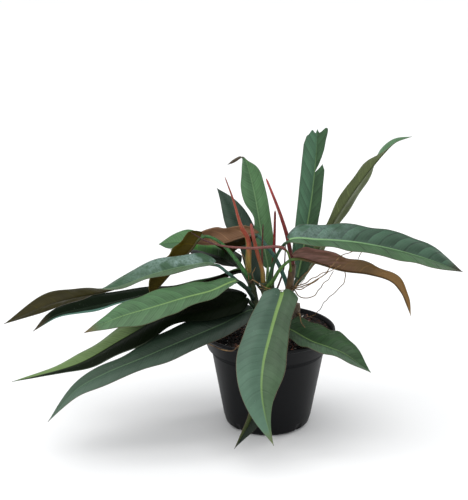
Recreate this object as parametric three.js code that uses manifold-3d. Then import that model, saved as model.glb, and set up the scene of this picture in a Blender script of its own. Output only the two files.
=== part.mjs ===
// A potted philodendron bicolor: a bushy house plant with long lance-shaped leaves, dark green above
// and red-brown below, in a black plastic nursery pot.
//
// Millimetres, +Z up. The origin is the centre of the pot's base, and the plant's front faces -Y.
// Four short stems stand in plain holes in the soil. Each leaf is one solid, its stalk and blade
// together, and starts at the skin of its stem. The red spikes are the sheaths of new leaves, and the
// thin brown threads are aerial roots.

import * as THREE from 'three';
import { ConvexGeometry } from 'three/addons/geometries/ConvexGeometry.js';
import { mergeVertices } from 'three/addons/utils/BufferGeometryUtils.js';
import Module from 'manifold-3d';

const wasm = await Module();
wasm.setup();

// Clearance between pieces that touch
const GAP = 0.3;

// The pot: a tapered body under a flared collar
const POT_HEIGHT = 145;
const RIM_RADIUS = 97.5;
const COLLAR_HEIGHT = 33;
const BODY_TOP_RADIUS = 81.5;
const BASE_CORNER_HEIGHT = 14;
const BODY_LOW_RADIUS = 64;
const BASE_RADIUS = 56;
const WALL = 2;
const POT_SIDES = 40;

// The soil
const SOIL_LEVEL = 137;
const SOIL_DOME = 3;
const HOLE_DEPTH = 30;

// Stems: a swollen ring marks each old leaf's place
const STEM_SIDES = 10;
const STEM_RINGS = 12;
const NODE_SPACING = 24;
const NODE_HEIGHT = 0.5;
const HOLE_SIDES = 16;
const HOLE_CLEARANCE = NODE_HEIGHT + GAP;

// Leaf blades; places along a blade run from 0 at its base to 1 at its tip
const BLADE_THICKNESS = 0.8;
const BLADE_ROWS = 15;
const BLADE_COLUMNS = [-1, -0.55, 0, 0.55, 1];
const TIP_HALF_WIDTH = 0.7;
const RIB_DEPTH = 2.4;
const RIB_TAPER = 0.85;
const MARGIN_WAVES = 4;
const RIGHT_WAVE_PHASE = 2;
const ROUND_BASE_END = 0.06;
const LOBE_END = 0.12;
const PATH_SAMPLES = 240;

// Where on its outline a torn blade is broken off
const TORN_OFF_AT = 0.97;

// Leaf stalks; a stalk runs on under the first two rows of its blade, sunk into the rib
const STALK_SIDES = 7;
const STALK_RINGS = 9;
const STALK_BASE_RADIUS = 3.6;
const STALK_NECK_RADIUS = 2.2;
const STALK_SINK = [1.2, 1.6, 1.6];

// Sheaths and roots
const SHEATH_SIDES = 7;
const ROOT_SIDES = 5;
const ROOT_RADIUS = 0.8;
const KNOT_RADIUS = 3.2;

// Past this share of its length, a stalk's or a root's end is drawn in to half its thickness
const END_TAPER = 0.97;

const COLOURS = {
  pot: { color: 0x1b1c1e, roughness: 0.45, metalness: 0 },
  soil: { color: 0x2a1d15, roughness: 0.95, metalness: 0 },
  leaf: { color: 0x3d6b4a, roughness: 0.5, metalness: 0 },
  stem: { color: 0x4a5a26, roughness: 0.6, metalness: 0 },
  sheath: { color: 0xa03a35, roughness: 0.5, metalness: 0 },
  root: { color: 0x8a6038, roughness: 0.8, metalness: 0 },
  bark: { color: 0x6b5a4a, roughness: 0.9, metalness: 0 },
};

const vec = (p) => new THREE.Vector3(...p);

// Solids from geometries and back

function solidOf(geometry) {
  const bare = new THREE.BufferGeometry();
  bare.setAttribute('position', geometry.getAttribute('position'));
  bare.setIndex(geometry.getIndex());
  const merged = mergeVertices(bare, 1e-4);
  return new wasm.Manifold(new wasm.Mesh({
    numProp: 3,
    vertProperties: new Float32Array(merged.attributes.position.array),
    triVerts: new Uint32Array(merged.index.array),
  }));
}

function geometryOf(solid) {
  const { vertProperties, triVerts } = solid.getMesh();
  const geometry = new THREE.BufferGeometry();
  geometry.setAttribute('position', new THREE.BufferAttribute(new Float32Array(vertProperties), 3));
  geometry.setIndex(new THREE.BufferAttribute(new Uint32Array(triVerts), 1));
  geometry.computeVertexNormals();
  return geometry;
}

// The biggest body of a solid: where a stem is cut out of what grows from it, a sliver can be left on
// the stem's far side
function largestBody(solid) {
  return solid.decompose().reduce((a, b) => (a.volume() > b.volume() ? a : b));
}

// A closed round tube along a smooth path: radius(t) for t from 0 at the start to 1 at the end.
// It is a closed cylinder whose rings are carried along the path without twisting.
function tube(points, radius, sides, rings) {
  const path = new THREE.CatmullRomCurve3(points.map(vec));
  const { normals, binormals } = path.computeFrenetFrames(rings, false);
  const geometry = new THREE.CylinderGeometry(1, 1, 1, sides, rings);
  const position = geometry.getAttribute('position');
  for (let i = 0; i < position.count; i++) {
    const t = position.getY(i) + 0.5;
    const ring = Math.round(t * rings);
    const r = radius(t);
    const p = path.getPointAt(t)
      .addScaledVector(normals[ring], r * position.getZ(i))
      .addScaledVector(binormals[ring], r * position.getX(i));
    position.setXYZ(i, p.x, p.y, p.z);
  }
  return geometry;
}

const blend = (a, b, t) => a + (b - a) * Math.min(1, Math.max(0, t));

const drawnIn = (t) => (t > END_TAPER ? 0.5 : 1);

// Pot and soil

// The pot's outside, from the base up: [radius, height]
const potOutside = [
  [BASE_RADIUS, 0],
  [BASE_RADIUS + 5, 4],
  [BODY_LOW_RADIUS, BASE_CORNER_HEIGHT],
  [BODY_TOP_RADIUS, POT_HEIGHT - COLLAR_HEIGHT],
  [BODY_TOP_RADIUS + 6, POT_HEIGHT - COLLAR_HEIGHT + 6],
  [RIM_RADIUS - 2.5, POT_HEIGHT - 6],
  [RIM_RADIUS, POT_HEIGHT - 4],
  [RIM_RADIUS, POT_HEIGHT],
];
const potInside = [
  [RIM_RADIUS - WALL - 1, POT_HEIGHT],
  [BODY_TOP_RADIUS + 6 - WALL, POT_HEIGHT - COLLAR_HEIGHT + 5],
  [BODY_TOP_RADIUS - WALL, POT_HEIGHT - COLLAR_HEIGHT - 2],
  [BODY_LOW_RADIUS - WALL, BASE_CORNER_HEIGHT],
  [BASE_RADIUS + 2, WALL + 2],
  [BASE_RADIUS - 4, WALL],
];

function lathe(profile, sides = POT_SIDES) {
  const points = profile.map(([r, z]) => new THREE.Vector2(r, z));
  return new THREE.LatheGeometry(points, sides).rotateX(Math.PI / 2);
}

function potSolid() {
  return solidOf(lathe([[0, 0], ...potOutside, ...potInside, [0, WALL]]));
}

// The inner wall's radius at a height
function insideRadius(z) {
  for (let i = 1; i < potInside.length; i++) {
    const [r1, z1] = potInside[i - 1];
    const [r0, z0] = potInside[i];
    if (z >= z0) return blend(r0, r1, (z - z0) / (z1 - z0));
  }
  return BASE_RADIUS;
}

// The soil fills the pot: its sides stand off a sloping wall by a little more than the clearance,
// and it is slightly domed
function soilSolid(holes) {
  const side = 1.4 * GAP;
  const wall = potInside.filter(([, z]) => z < SOIL_LEVEL)
    .map(([r, z]) => [r - side, z + GAP])
    .reverse();
  const profile = [
    [0, WALL + GAP],
    ...wall,
    [insideRadius(SOIL_LEVEL) - side, SOIL_LEVEL],
    [insideRadius(SOIL_LEVEL) * 0.7, SOIL_LEVEL + SOIL_DOME * 0.6],
    [0, SOIL_LEVEL + SOIL_DOME],
  ];
  return holes.reduce((soil, hole) => soil.subtract(hole), solidOf(lathe(profile)));
}

// Stems: [x, y] where each stands in the soil, the points that it passes above the soil, and its
// radius at the foot and at the top. The stub is what is left of an old stem, cut flat.

const stems = {
  stem_left: {
    foot: [-13, -3],
    points: [[-14, -3, 150], [-20, -1, 190], [-28, 0, 228]],
    radii: [7, 5],
  },
  stem_middle: {
    foot: [3, -9],
    points: [[3, -9, 150], [-2, -8, 185], [-7, -8, 216]],
    radii: [7.5, 5],
  },
  stem_back: {
    foot: [10, 27],
    points: [[9, 27, 150], [6, 28, 178], [4, 30, 204]],
    radii: [7, 4.5],
  },
  stem_right: {
    foot: [29, 2],
    points: [[28, 2, 150], [29, 2, 190], [35, 4, 239]],
    radii: [7.5, 4.8],
  },
  stem_stub: {
    foot: [41, -14],
    points: [[41, -14, 150], [41, -12, 186]],
    radii: [5.2, 4.8],
  },
};

function stemPoints({ foot: [x, y], points }) {
  return [[x, y, SOIL_LEVEL - HOLE_DEPTH + GAP], [x, y, SOIL_LEVEL - HOLE_DEPTH / 2], ...points];
}

// A stem, or with grow the space that a piece growing from it keeps clear of
function stemSolid(stem, grow = 0) {
  const points = stemPoints(stem);
  const end = vec(points.at(-1));
  const outward = end.clone().sub(vec(points.at(-2))).normalize();
  points.push(end.addScaledVector(outward, 1 + grow).toArray());
  const [foot, top] = stem.radii;
  const length = new THREE.CatmullRomCurve3(points.map(vec)).getLength();
  const node = (t) => NODE_HEIGHT * Math.max(0, Math.cos(2 * Math.PI * t * length / NODE_SPACING));
  const radius = (t) => blend(foot, top, t) + node(t) + grow;
  return solidOf(tube(points, radius, STEM_SIDES, STEM_RINGS));
}

// The hole that a stem stands in, from its bottom to well above the soil
function holeSolid({ foot: [x, y], radii }) {
  const radius = radii[0] + HOLE_CLEARANCE;
  const height = 1.5 * HOLE_DEPTH;
  const hole = new THREE.CylinderGeometry(radius, radius, height, HOLE_SIDES)
    .rotateX(Math.PI / 2)
    .translate(x, y, SOIL_LEVEL - HOLE_DEPTH + height / 2);
  return solidOf(hole);
}

// Leaves
//
// stem, at: the stem that it grows from, and how far up that stem, from 0 to 1
// stalk: points that the leaf stalk passes between the stem and the blade
// rib: points along the midrib, from the blade's base to its tip
// width: the blade's full width
// shape: the base's width as a share of that, where the blade is widest, and how full its tip is
// wave: height of the waves along the margin
// lobe: how far the base reaches back beside the stalk
// faces: which way the upper face looks, from base to tip, evenly spaced, as are the next ones
// fold: how far each half is raised from flat, in degrees
// left, right: shares of the half width on that side
// tear: corners of a slit, each as its place along the rib and its distance to the right of it
// end: how far the torn end reaches past the last rib point, from the left margin to the right one

const leaves = [
  {
    name: 'leaf_left_upper', stem: 'stem_left', at: 0.78,
    stalk: [[-33, -7, 208], [-55, -10, 228]],
    rib: [
      [-78, -15, 246], [-118, -26, 245], [-167, -40, 236], [-219, -50, 218], [-301, -58, 200],
      [-371, -64, 170],
    ],
    width: 52, shape: [0.75, 0.45, 2.2], wave: 1.5, lobe: 4,
    faces: [
      [-0.1, -0.33, 0.95], [0, -0.33, 0.95], [0, -0.31, 0.95], [0, -0.1, 1], [0, 0.24, 0.97],
      [0, 0.64, 0.77], [0, 0.9, 0.45], [0, 0.95, 0.3], [0, 0.98, 0.2],
    ], fold: [10, 10, 10, 12, 14],
    left: [0.55, 0.55, 0.6, 0.9, 1, 1],
    right: [1, 1, 1, 0.8, 0.75, 0.8],
  },
  {
    name: 'leaf_left_shaded', stem: 'stem_left', at: 0.84,
    stalk: [[-27, 2, 220]],
    rib: [
      [-36, 7, 229], [-75, 14, 213], [-122, 22, 196], [-187, 28, 180], [-271, 34, 160],
      [-314, 34, 148], [-347, 30, 124],
    ],
    width: 50, shape: [0.6, 0.5, 3.5], wave: 1.5, lobe: 3,
    faces: [[0, 0.2, 1], [0, 0.15, 1], [0, -0.2, 1], [0, -0.2, 1]], fold: [12],
    left: [0.8, 1.1, 1, 1],
  },
  {
    name: 'leaf_left_bright', stem: 'stem_left', at: 0.65,
    stalk: [[-28, -12, 204], [-38, -18, 218]],
    rib: [
      [-46, -24, 223], [-81, -48, 216], [-113, -66, 213], [-158, -92, 207], [-205, -108, 197],
      [-251, -118, 178],
    ],
    width: 54, shape: [0.35, 0.5, 2], wave: 1.5, lobe: 5,
    faces: [[0, -0.5, 1]], fold: [4],
    left: [0.55, 0.8, 0.8, 1.1, 1.2, 1],
  },
  {
    name: 'leaf_left_pale_edge', stem: 'stem_left', at: 0.55,
    stalk: [[-24, -9, 183]],
    rib: [
      [-32, -14, 194], [-54, -24, 192], [-114, -46, 188], [-151, -58, 179], [-202, -76, 155],
      [-261, -92, 124], [-316, -102, 109], [-355, -108, 101],
    ],
    width: 66, shape: [0.6, 0.45, 1.6], wave: 1.5, lobe: 4,
    faces: [[0, -0.55, 1], [0, -0.25, 1], [0, -0.15, 1], [0, 0, 1]], fold: [-7, -7, 0, 12],
    left: [1, 1, 0.72, 1, 1, 1, 1],
    right: [1.4, 1.5, 1.2, 1, 1, 1, 1],
  },
  {
    name: 'leaf_left_low', stem: 'stem_left', at: 0.46,
    stalk: [[-18, -14, 171]],
    rib: [
      [-24, -22, 179], [-61, -46, 168], [-131, -92, 152], [-175, -116, 140], [-219, -132, 126],
      [-260, -146, 106], [-299, -154, 62],
    ],
    width: 56, shape: [0.75, 0.4, 1.8], wave: 1.5, lobe: 4,
    faces: [[0, -0.48, 1], [-0.1, -0.48, 1], [-0.4, -0.5, 1]], fold: [7],
    right: [1, 1, 0.95, 0.7, 0.9, 1],
    left: [1, 1, 1, 1, 1.4, 1],
  },
  {
    name: 'leaf_left_hanging', stem: 'stem_left', at: 0.92,
    stalk: [[-34, -8, 232], [-42, -4, 243], [-62, 8, 264], [-82, 14, 276]],
    rib: [[-98, 14, 276], [-109, 10, 262], [-129, 4, 239], [-151, -3, 213], [-169, -8, 193]],
    width: 56, shape: [0.8, 0.5, 5], wave: 1.5, lobe: 6,
    faces: [[-0.45, 0.6, 0.4]], fold: [40],
    left: [0.75],
  },
  {
    name: 'leaf_back_left', stem: 'stem_right', at: 0.7,
    stalk: [[26, 8, 211], [9, 12, 248], [-4, 16, 264], [-12, 20, 274]],
    rib: [
      [-21, 22, 279], [-41, 30, 272], [-62, 38, 262], [-89, 56, 253], [-124, 76, 250],
      [-164, 92, 241],
    ],
    width: 56, shape: [0.5, 0.5, 3], wave: 2, lobe: 8,
    faces: [
      [-0.2, 0.9, 0.42], [0, 0.9, 0.42], [0, 0.9, 0.42], [0, 0.3, 1], [0, -0.5, 1], [0, -0.5, 1],
    ],
    fold: [12],
  },
  {
    name: 'leaf_left_inner', stem: 'stem_left', at: 0.74,
    stalk: [[-28, 14, 208]],
    rib: [[-47, 36, 228], [-68, 56, 232], [-85, 74, 232], [-113, 98, 231], [-149, 112, 226]],
    width: 46, shape: [0.7, 0.45, 2], wave: 1, lobe: 4,
    faces: [[0, -0.3, 1], [0, -0.2, 1], [0, -0.1, 1]], fold: [15],
    left: [1.3, 1.4, 1.2, 1, 1],
  },
  {
    name: 'leaf_back_blue', stem: 'stem_back', at: 0.6,
    stalk: [[-4, 30, 184]],
    rib: [[-18, 32, 203], [-27, 46, 228], [-35, 60, 259], [-45, 72, 284], [-60, 84, 308], [-77, 94, 328]],
    width: 54, shape: [0.7, 0.45, 1.7], wave: 1.5, lobe: 4,
    faces: [[0.2, -1, 0.4], [0.1, -1, 0.4], [0, -1, 0.3]], fold: [18],
    right: [0.8, 0.72, 0.72, 0.78, 0.9, 1],
    left: [0.5, 0.4, 0.45, 0.9, 1, 1],
  },
  {
    name: 'leaf_bent_tip', stem: 'stem_back', at: 0.85,
    stalk: [[-1, 38, 205]],
    rib: [
      [-1, 42, 225], [-7, 48, 253], [-13, 57, 285], [-20, 66, 322], [-28, 73, 355], [-36, 73, 378],
      [-40, 67, 381], [-48, 63, 378], [-60, 62, 371],
    ],
    width: 36, shape: [0.85, 0.6, 2.2], wave: 1, lobe: 3,
    faces: [
      [0, -1, 0.3], [0, -1, 0.3], [0, -1, 0.3], [0, -1, 0.2], [0, -1, 0.2], [0, -1, 0.2],
      [-0.1, -1, -0.1], [-0.4, 0.2, -1], [0, 1, -0.3],
    ], fold: [12],
    left: [0.7, 0.7, 0.68, 0.42, 0.95, 1, 0.65, 0.4, 0.8],
    right: [1, 1, 1, 1, 1, 0.95, 0.9, 0.15, 0.9],
  },
  {
    name: 'leaf_torn', stem: 'stem_right', at: 0.58,
    stalk: [[34, 18, 196]],
    rib: [[42, 30, 212], [50, 42, 249], [56, 52, 286], [62, 62, 325], [67, 70, 377], [69, 76, 421]],
    width: 44, shape: [1, 0.5, 40], wave: 0.8, lobe: 3,
    faces: [[0.2, -1, 0.2]], fold: [14],
    left: [0.6, 0.7, 0.8, 0.85, 0.9, 0.95, 1, 1, 1, 0.95, 0.6],
    right: [
      0.55, 0.6, 0.62, 0.65, 0.68, 0.7, 0.7, 0.7, 0.7, 0.68, 0.66, 0.64, 0.35, 0.52, 0.6, 0.75,
    ],
    end: [-2, -7, 0, -5, 2],
    tear: [[0.713, 0.6], [0.79, 13.5], [0.82, 9]],
  },
  {
    name: 'leaf_twisted_right', stem: 'stem_back', at: 0.5,
    stalk: [[27, 38, 172]],
    rib: [
      [42, 44, 198], [65, 58, 232], [93, 76, 279], [122, 92, 321], [147, 106, 352],
      [170, 110, 380], [185, 106, 396], [207, 98, 406],
    ],
    width: 40, shape: [0.8, 0.5, 2], wave: 1.5, lobe: 3,
    faces: [[-0.6, 1, 0.4], [-0.5, 1, 0.3], [-0.4, 0.6, 0.3], [-0.6, -0.4, 1]], fold: [20],
    left: [1, 1, 1, 1.3, 1.5, 1.3],
    right: [0.4, 0.4, 0.5, 0.8, 1, 1],
  },
  {
    name: 'leaf_right_long', stem: 'stem_middle', at: 0.82,
    stalk: [[1, 2, 214], [10, 4, 248]],
    rib: [[30, -6, 279], [70, -14, 282], [117, -20, 281], [167, -26, 274], [217, -32, 262], [271, -38, 244]],
    width: 62, shape: [0.75, 0.5, 3.5], wave: 1.2, lobe: 4,
    faces: [[0.1, -0.4, 1], [0, -0.4, 1], [0.2, -0.3, 1]], fold: [15],
    right: [0.7, 0.9, 1, 1, 1.1, 1.2],
  },
  {
    name: 'leaf_right_brown', stem: 'stem_middle', at: 0.9,
    stalk: [[5, -14, 218], [18, -15, 240]],
    rib: [
      [38, -11, 254], [68, -8, 247], [105, -6, 235], [144, -8, 230], [176, -12, 220],
      [193, -14, 199], [204, -16, 170],
    ],
    width: 54, shape: [0.7, 0.45, 1.8], wave: 1.5, lobe: 4,
    faces: [[0.3, 0.8, 1], [0.2, 0.8, 1], [0.4, 0.6, 1]], fold: [25],
    right: [1.2, 1.1, 0.9, 0.75, 0.75, 0.8],
    left: [0.15, 0.7, 1, 1, 1],
  },
  {
    name: 'leaf_front', stem: 'stem_middle', at: 0.72,
    stalk: [[10, -22, 198]],
    rib: [
      [19, -46, 213], [10, -78, 191], [2, -108, 170], [-6, -140, 144], [-8, -165, 117],
      [-3, -180, 87], [9, -190, 47],
    ],
    width: 74, shape: [0.65, 0.5, 1.65], wave: 1.5, lobe: 12,
    faces: [[0.1, -0.1, 1], [0, -0.6, 1], [0, -1, 0.3]], fold: [8],
    left: [1, 0.76, 0.8, 0.86, 0.5, 0.25],
  },
  {
    name: 'leaf_front_hidden', stem: 'stem_middle', at: 0.62,
    stalk: [[8, -22, 179]],
    rib: [
      [11, -40, 186], [4, -79, 165], [-4, -110, 136], [-10, -122, 96], [-21, -132, 61],
      [-45, -142, 19],
    ],
    width: 50, shape: [0.7, 0.45, 1.8], wave: 1.5, lobe: 4,
    faces: [[0, -0.1, 1], [0.2, -0.8, 0.6], [0.4, -1, 0.2]], fold: [25],
    right: [1, 1, 0.8, 0.6, 0.6, 0.7],
  },
  {
    name: 'leaf_right_low', stem: 'stem_right', at: 0.42,
    stalk: [],
    rib: [
      [23, -26, 158], [41, -44, 153], [61, -62, 148], [84, -85, 148], [106, -105, 146],
      [141, -122, 126],
    ],
    width: 57, shape: [0.8, 0.45, 2], wave: 1.5, lobe: 4,
    faces: [[0.1, -0.47, 1]], fold: [20],
  },
];

// A leaf's half width at a place along it, as a share of its widest: a rounded base, a swelling side
// and a pointed tip
function outline([base, widest, fullness], u) {
  if (u < widest) {
    const roundEnd = Math.sqrt(Math.min(1, 0.2 + u / ROUND_BASE_END));
    return roundEnd * blend(base, 1, Math.sin(0.5 * Math.PI * u / widest));
  }
  return Math.pow(1 - Math.pow((u - widest) / (1 - widest), fullness), 1.15);
}

// A value between evenly spaced keys
function between(keys, u) {
  if (keys.length === 1) return keys[0];
  const place = u * (keys.length - 1);
  const i = Math.min(keys.length - 2, Math.floor(place));
  const [a, b] = [keys[i], keys[i + 1]];
  const t = place - i;
  return Array.isArray(a) ? a.map((x, k) => blend(x, b[k], t)) : blend(a, b, t);
}

function stemPoint(name, at) {
  const points = stemPoints(stems[name]);
  return new THREE.CatmullRomCurve3(points.map(vec)).getPointAt(at).toArray();
}

// The leaf's whole path from the stem's axis to the tip, and where on it the blade starts
function leafPath(leaf) {
  const stalk = [stemPoint(leaf.stem, leaf.at), ...leaf.stalk];
  const path = new THREE.CatmullRomCurve3([...stalk, ...leaf.rib].map(vec));
  return { path, bladeStart: stalk.length / (stalk.length + leaf.rib.length - 1) };
}

// Places along the blade, evenly spaced by length
function bladeStations(leaf, places) {
  const { path, bladeStart } = leafPath(leaf);
  const samples = Array.from({ length: PATH_SAMPLES + 1 }, (_, i) =>
    path.getPoint(blend(bladeStart, 1, i / PATH_SAMPLES)));
  const run = [0];
  samples.slice(1).forEach((p, i) => run.push(run[i] + p.distanceTo(samples[i])));
  return places.map((u) => {
    const target = u * run[PATH_SAMPLES];
    const i = Math.min(PATH_SAMPLES - 1, Math.max(0, run.findIndex((r) => r >= target) - 1));
    const centre = samples[i].clone().lerp(samples[i + 1], (target - run[i]) / (run[i + 1] - run[i]));
    const along = samples[i + 1].clone().sub(samples[i]).normalize();
    const side = new THREE.Vector3().crossVectors(along, vec(between(leaf.faces, u))).normalize();
    const up = new THREE.Vector3().crossVectors(side, along);
    return { u, centre, along, side, up };
  });
}

// A point of the blade: v runs from -1 at the left margin to 1 at the right one, and layer is 1 on
// the upper face and -1 on the lower, where the midrib stands out
function bladePoint(leaf, { u, centre, along, side, up }, v, layer) {
  const fold = THREE.MathUtils.degToRad(between(leaf.fold, u));
  const share = between((v < 0 ? leaf.left : leaf.right) ?? [1], u);
  const reached = outline(leaf.shape, leaf.end ? TORN_OFF_AT * u : u);
  const half = Math.max(TIP_HALF_WIDTH, leaf.width / 2 * reached * share);
  const reach = v * half;
  const phase = 2 * Math.PI * MARGIN_WAVES * u + (v < 0 ? 0 : RIGHT_WAVE_PHASE);
  const wave = leaf.wave * v * v * Math.sin(phase) * Math.min(1, 4 * u, 3 * (1 - u));
  const lift = Math.abs(reach) * Math.sin(fold) + wave;
  const lobeShare = Math.pow(Math.max(0, 1 - u / LOBE_END), 2);
  const back = leaf.lobe * lobeShare * Math.sin(0.8 * Math.PI * Math.abs(v));
  const ribDepth = v === 0 && layer < 0 ? RIB_DEPTH * (1 - RIB_TAPER * u) : 0;
  const thick = layer * BLADE_THICKNESS / 2 - ribDepth;
  const ends = leaf.end && u === 1 ? leaf.end[BLADE_COLUMNS.indexOf(v)] : 0;
  const lean = -Math.sign(v) * Math.sin(fold);
  return centre.clone()
    .addScaledVector(side, reach * Math.cos(fold) + lean * thick)
    .addScaledVector(up, lift + Math.cos(fold) * thick)
    .addScaledVector(along, ends - back);
}

const rows = Array.from({ length: BLADE_ROWS + 1 }, (_, row) => row / BLADE_ROWS);

// The blade: an upper and a lower sheet split into triangles alike, closed along their margins
function bladeSolid(leaf) {
  const stations = bladeStations(leaf, rows);
  const columns = BLADE_COLUMNS.length;
  const points = [];
  for (const layer of [1, -1]) {
    for (const station of stations) {
      for (const v of BLADE_COLUMNS) points.push(...bladePoint(leaf, station, v, layer).toArray());
    }
  }
  const lower = stations.length * columns;
  const faces = [];
  for (let row = 0; row < BLADE_ROWS; row++) {
    for (let column = 0; column < columns - 1; column++) {
      const a = row * columns + column;
      const [b, c, d] = [a + 1, a + columns, a + columns + 1];
      faces.push(a, b, d, a, d, c);
      faces.push(lower + a, lower + d, lower + b, lower + a, lower + c, lower + d);
    }
  }
  const edge = [];
  for (let column = 0; column < columns - 1; column++) edge.push(column);
  for (let row = 0; row < BLADE_ROWS; row++) edge.push(row * columns + columns - 1);
  for (let column = columns - 1; column > 0; column--) edge.push(BLADE_ROWS * columns + column);
  for (let row = BLADE_ROWS; row > 0; row--) edge.push(row * columns);
  edge.forEach((a, i) => {
    const b = edge[(i + 1) % edge.length];
    faces.push(a, lower + a, b, b, lower + a, lower + b);
  });
  const geometry = new THREE.BufferGeometry();
  geometry.setAttribute('position', new THREE.BufferAttribute(new Float32Array(points), 3));
  geometry.setIndex(faces);
  return solidOf(geometry);
}

// The stalk: along the leaf's path to the blade, then on under its first rows
function stalkSolid(leaf) {
  const { path, bladeStart } = leafPath(leaf);
  const steps = leaf.stalk.length + 2;
  const points = Array.from({ length: steps }, (_, i) =>
    path.getPoint(bladeStart * i / steps).toArray());
  bladeStations(leaf, rows.slice(0, STALK_SINK.length)).forEach(({ centre, up }, i) => {
    points.push(centre.clone().addScaledVector(up, -STALK_SINK[i]).toArray());
  });
  const radius = (t) => blend(STALK_BASE_RADIUS, STALK_NECK_RADIUS, 1.3 * t) * drawnIn(t);
  return solidOf(tube(points, radius, STALK_SIDES, STALK_RINGS));
}

// The slit of a torn blade, as a wedge that passes through it
function tearSolid(leaf) {
  const halfDepth = leaf.width / 2;
  const stations = bladeStations(leaf, leaf.tear.map(([u]) => u));
  const corners = stations.flatMap(({ centre, side, up }, i) => [-halfDepth, halfDepth].map((end) =>
    centre.clone().addScaledVector(side, leaf.tear[i][1]).addScaledVector(up, end)));
  return solidOf(new ConvexGeometry(corners));
}

function leafSolid(leaf) {
  const blade = leaf.tear ? bladeSolid(leaf).subtract(tearSolid(leaf)) : bladeSolid(leaf);
  const whole = stalkSolid(leaf).add(blade);
  return largestBody(whole.subtract(stemSolid(stems[leaf.stem], GAP)));
}

// Sheaths of new leaves: tapered shoots that start at the skin of a stem. Each has the points that it
// passes, and its radius at the start and at the tip.

const sheaths = [
  {
    name: 'sheath_left_tall', stem: 'stem_left', at: 1, radii: [4.3, 0.7],
    points: [[-28, 0, 245], [-29, 0, 277], [-39, 0, 297], [-50, 0, 335], [-62, 0, 369]],
  },
  {
    name: 'sheath_middle', stem: 'stem_middle', at: 1, radii: [3.5, 2.3],
    points: [[-8, -8, 232], [-15, -8, 257], [-22, -8, 286], [-25, -8, 303]],
  },
  {
    name: 'sheath_middle_thin', stem: 'stem_middle', at: 0.9, radii: [2, 0.9],
    points: [[-8, 2, 222], [-9, 1, 255], [-8, 1, 300]],
  },
  {
    name: 'sheath_back', stem: 'stem_back', at: 1, radii: [2.5, 1.7],
    points: [[6, 29, 225], [8, 28, 253], [9, 26, 313]],
  },
  {
    name: 'sheath_right_tall', stem: 'stem_right', at: 1, radii: [3.4, 1.6],
    points: [[34, 7, 247], [31, 10, 258], [27, 16, 276], [15, 20, 313], [-4, 26, 360]],
  },
  {
    name: 'sheath_right_thin', stem: 'stem_back', at: 0.75, radii: [1.8, 0.7],
    points: [[14, 20, 200], [22, 17, 228], [24, 18, 254], [24, 18, 268]],
  },
  {
    name: 'shoot_across', stem: 'stem_right', at: 0.88, radii: [2.6, 0.8],
    points: [
      [31, -4, 241], [30, -6, 252], [26, -8, 263], [17, -12, 270], [-26, -24, 272],
      [-65, -30, 277], [-89, -34, 286], [-108, -36, 298],
    ],
  },
];

// Three rings of faces between each two points of a thin shoot
const shootRings = (points) => 3 * points.length;

function sheathSolid({ stem, at, points, radii: [start, end] }) {
  const path = [stemPoint(stem, at), ...points];
  const radius = (t) => blend(start, end, t);
  const shoot = solidOf(tube(path, radius, SHEATH_SIDES, shootRings(points)));
  return largestBody(shoot.subtract(stemSolid(stems[stem], GAP)));
}

// Bunches of aerial roots: the knot that they grow from, at the skin of a stem, and the points of
// each root

const rootBunches = [
  {
    name: 'roots_right', stem: 'stem_right', knot: [36, -3, 206],
    roots: [
      [[54, -10, 218], [68, -18, 228], [87, -24, 241], [102, -26, 249]],
      [[57, -12, 214], [76, -20, 230], [103, -30, 263], [129, -34, 272], [125, -36, 261]],
      [[42, 2, 196], [50, 2, 190], [67, 6, 194], [76, 8, 204], [88, 14, 218], [94, 20, 225]],
      [[46, 2, 202], [63, 4, 211], [86, 12, 226]],
      [
        [44, 14, 212], [74, 32, 234], [106, 34, 228], [112, 34, 210], [104, 36, 194],
        [86, 44, 173], [70, 54, 146], [54, 58, 138.8],
      ],
    ],
  },
  {
    name: 'roots_crown', stem: 'stem_left', knot: [-25, -6, 216],
    roots: [[[-23, -12, 222], [-3, -18, 212], [10, -15, 208], [26, -12, 206]]],
  },
  {
    name: 'roots_low', stem: 'stem_stub', knot: [43, -17, 172],
    roots: [[[45, -30, 177], [47, -46, 170], [52, -54, 165]]],
  },
];

// A root that comes out of the soil and hangs over the rim
const rimRoot = [
  [-37, -58, 139.4], [-40, -76, 145.5], [-42, -86, 147.6], [-48, -88.3, 143], [-61.6, -79, 140],
  [-76, -64.6, 140], [-87.2, -48.2, 139],
];

function rootTube(points) {
  return solidOf(tube(points, (t) => ROOT_RADIUS * drawnIn(t), ROOT_SIDES, shootRings(points)));
}

function bunchSolid({ stem, knot, roots }) {
  const lump = solidOf(new THREE.IcosahedronGeometry(KNOT_RADIUS, 1).translate(...knot));
  const whole = roots.reduce((sum, root) => sum.add(rootTube([knot, ...root])), lump);
  return largestBody(whole.subtract(stemSolid(stems[stem], GAP)));
}

// Assembly

const plant = new THREE.Group();

function piece(name, solid, look) {
  const mesh = new THREE.Mesh(geometryOf(solid), new THREE.MeshStandardMaterial(COLOURS[look]));
  mesh.name = name;
  plant.add(mesh);
}

piece('pot', potSolid(), 'pot');
piece('soil', soilSolid(Object.values(stems).map(holeSolid)), 'soil');
for (const [name, stem] of Object.entries(stems)) {
  piece(name, stemSolid(stem), name === 'stem_stub' ? 'bark' : 'stem');
}
for (const leaf of leaves) piece(leaf.name, leafSolid(leaf), 'leaf');
for (const sheath of sheaths) piece(sheath.name, sheathSolid(sheath), 'sheath');
for (const bunch of rootBunches) piece(bunch.name, bunchSolid(bunch), 'root');
piece('root_over_rim', rootTube(rimRoot), 'root');

export default plant;
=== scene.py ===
import math
import random

import bmesh
import bpy
from mathutils import Matrix, Vector, noise


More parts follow.
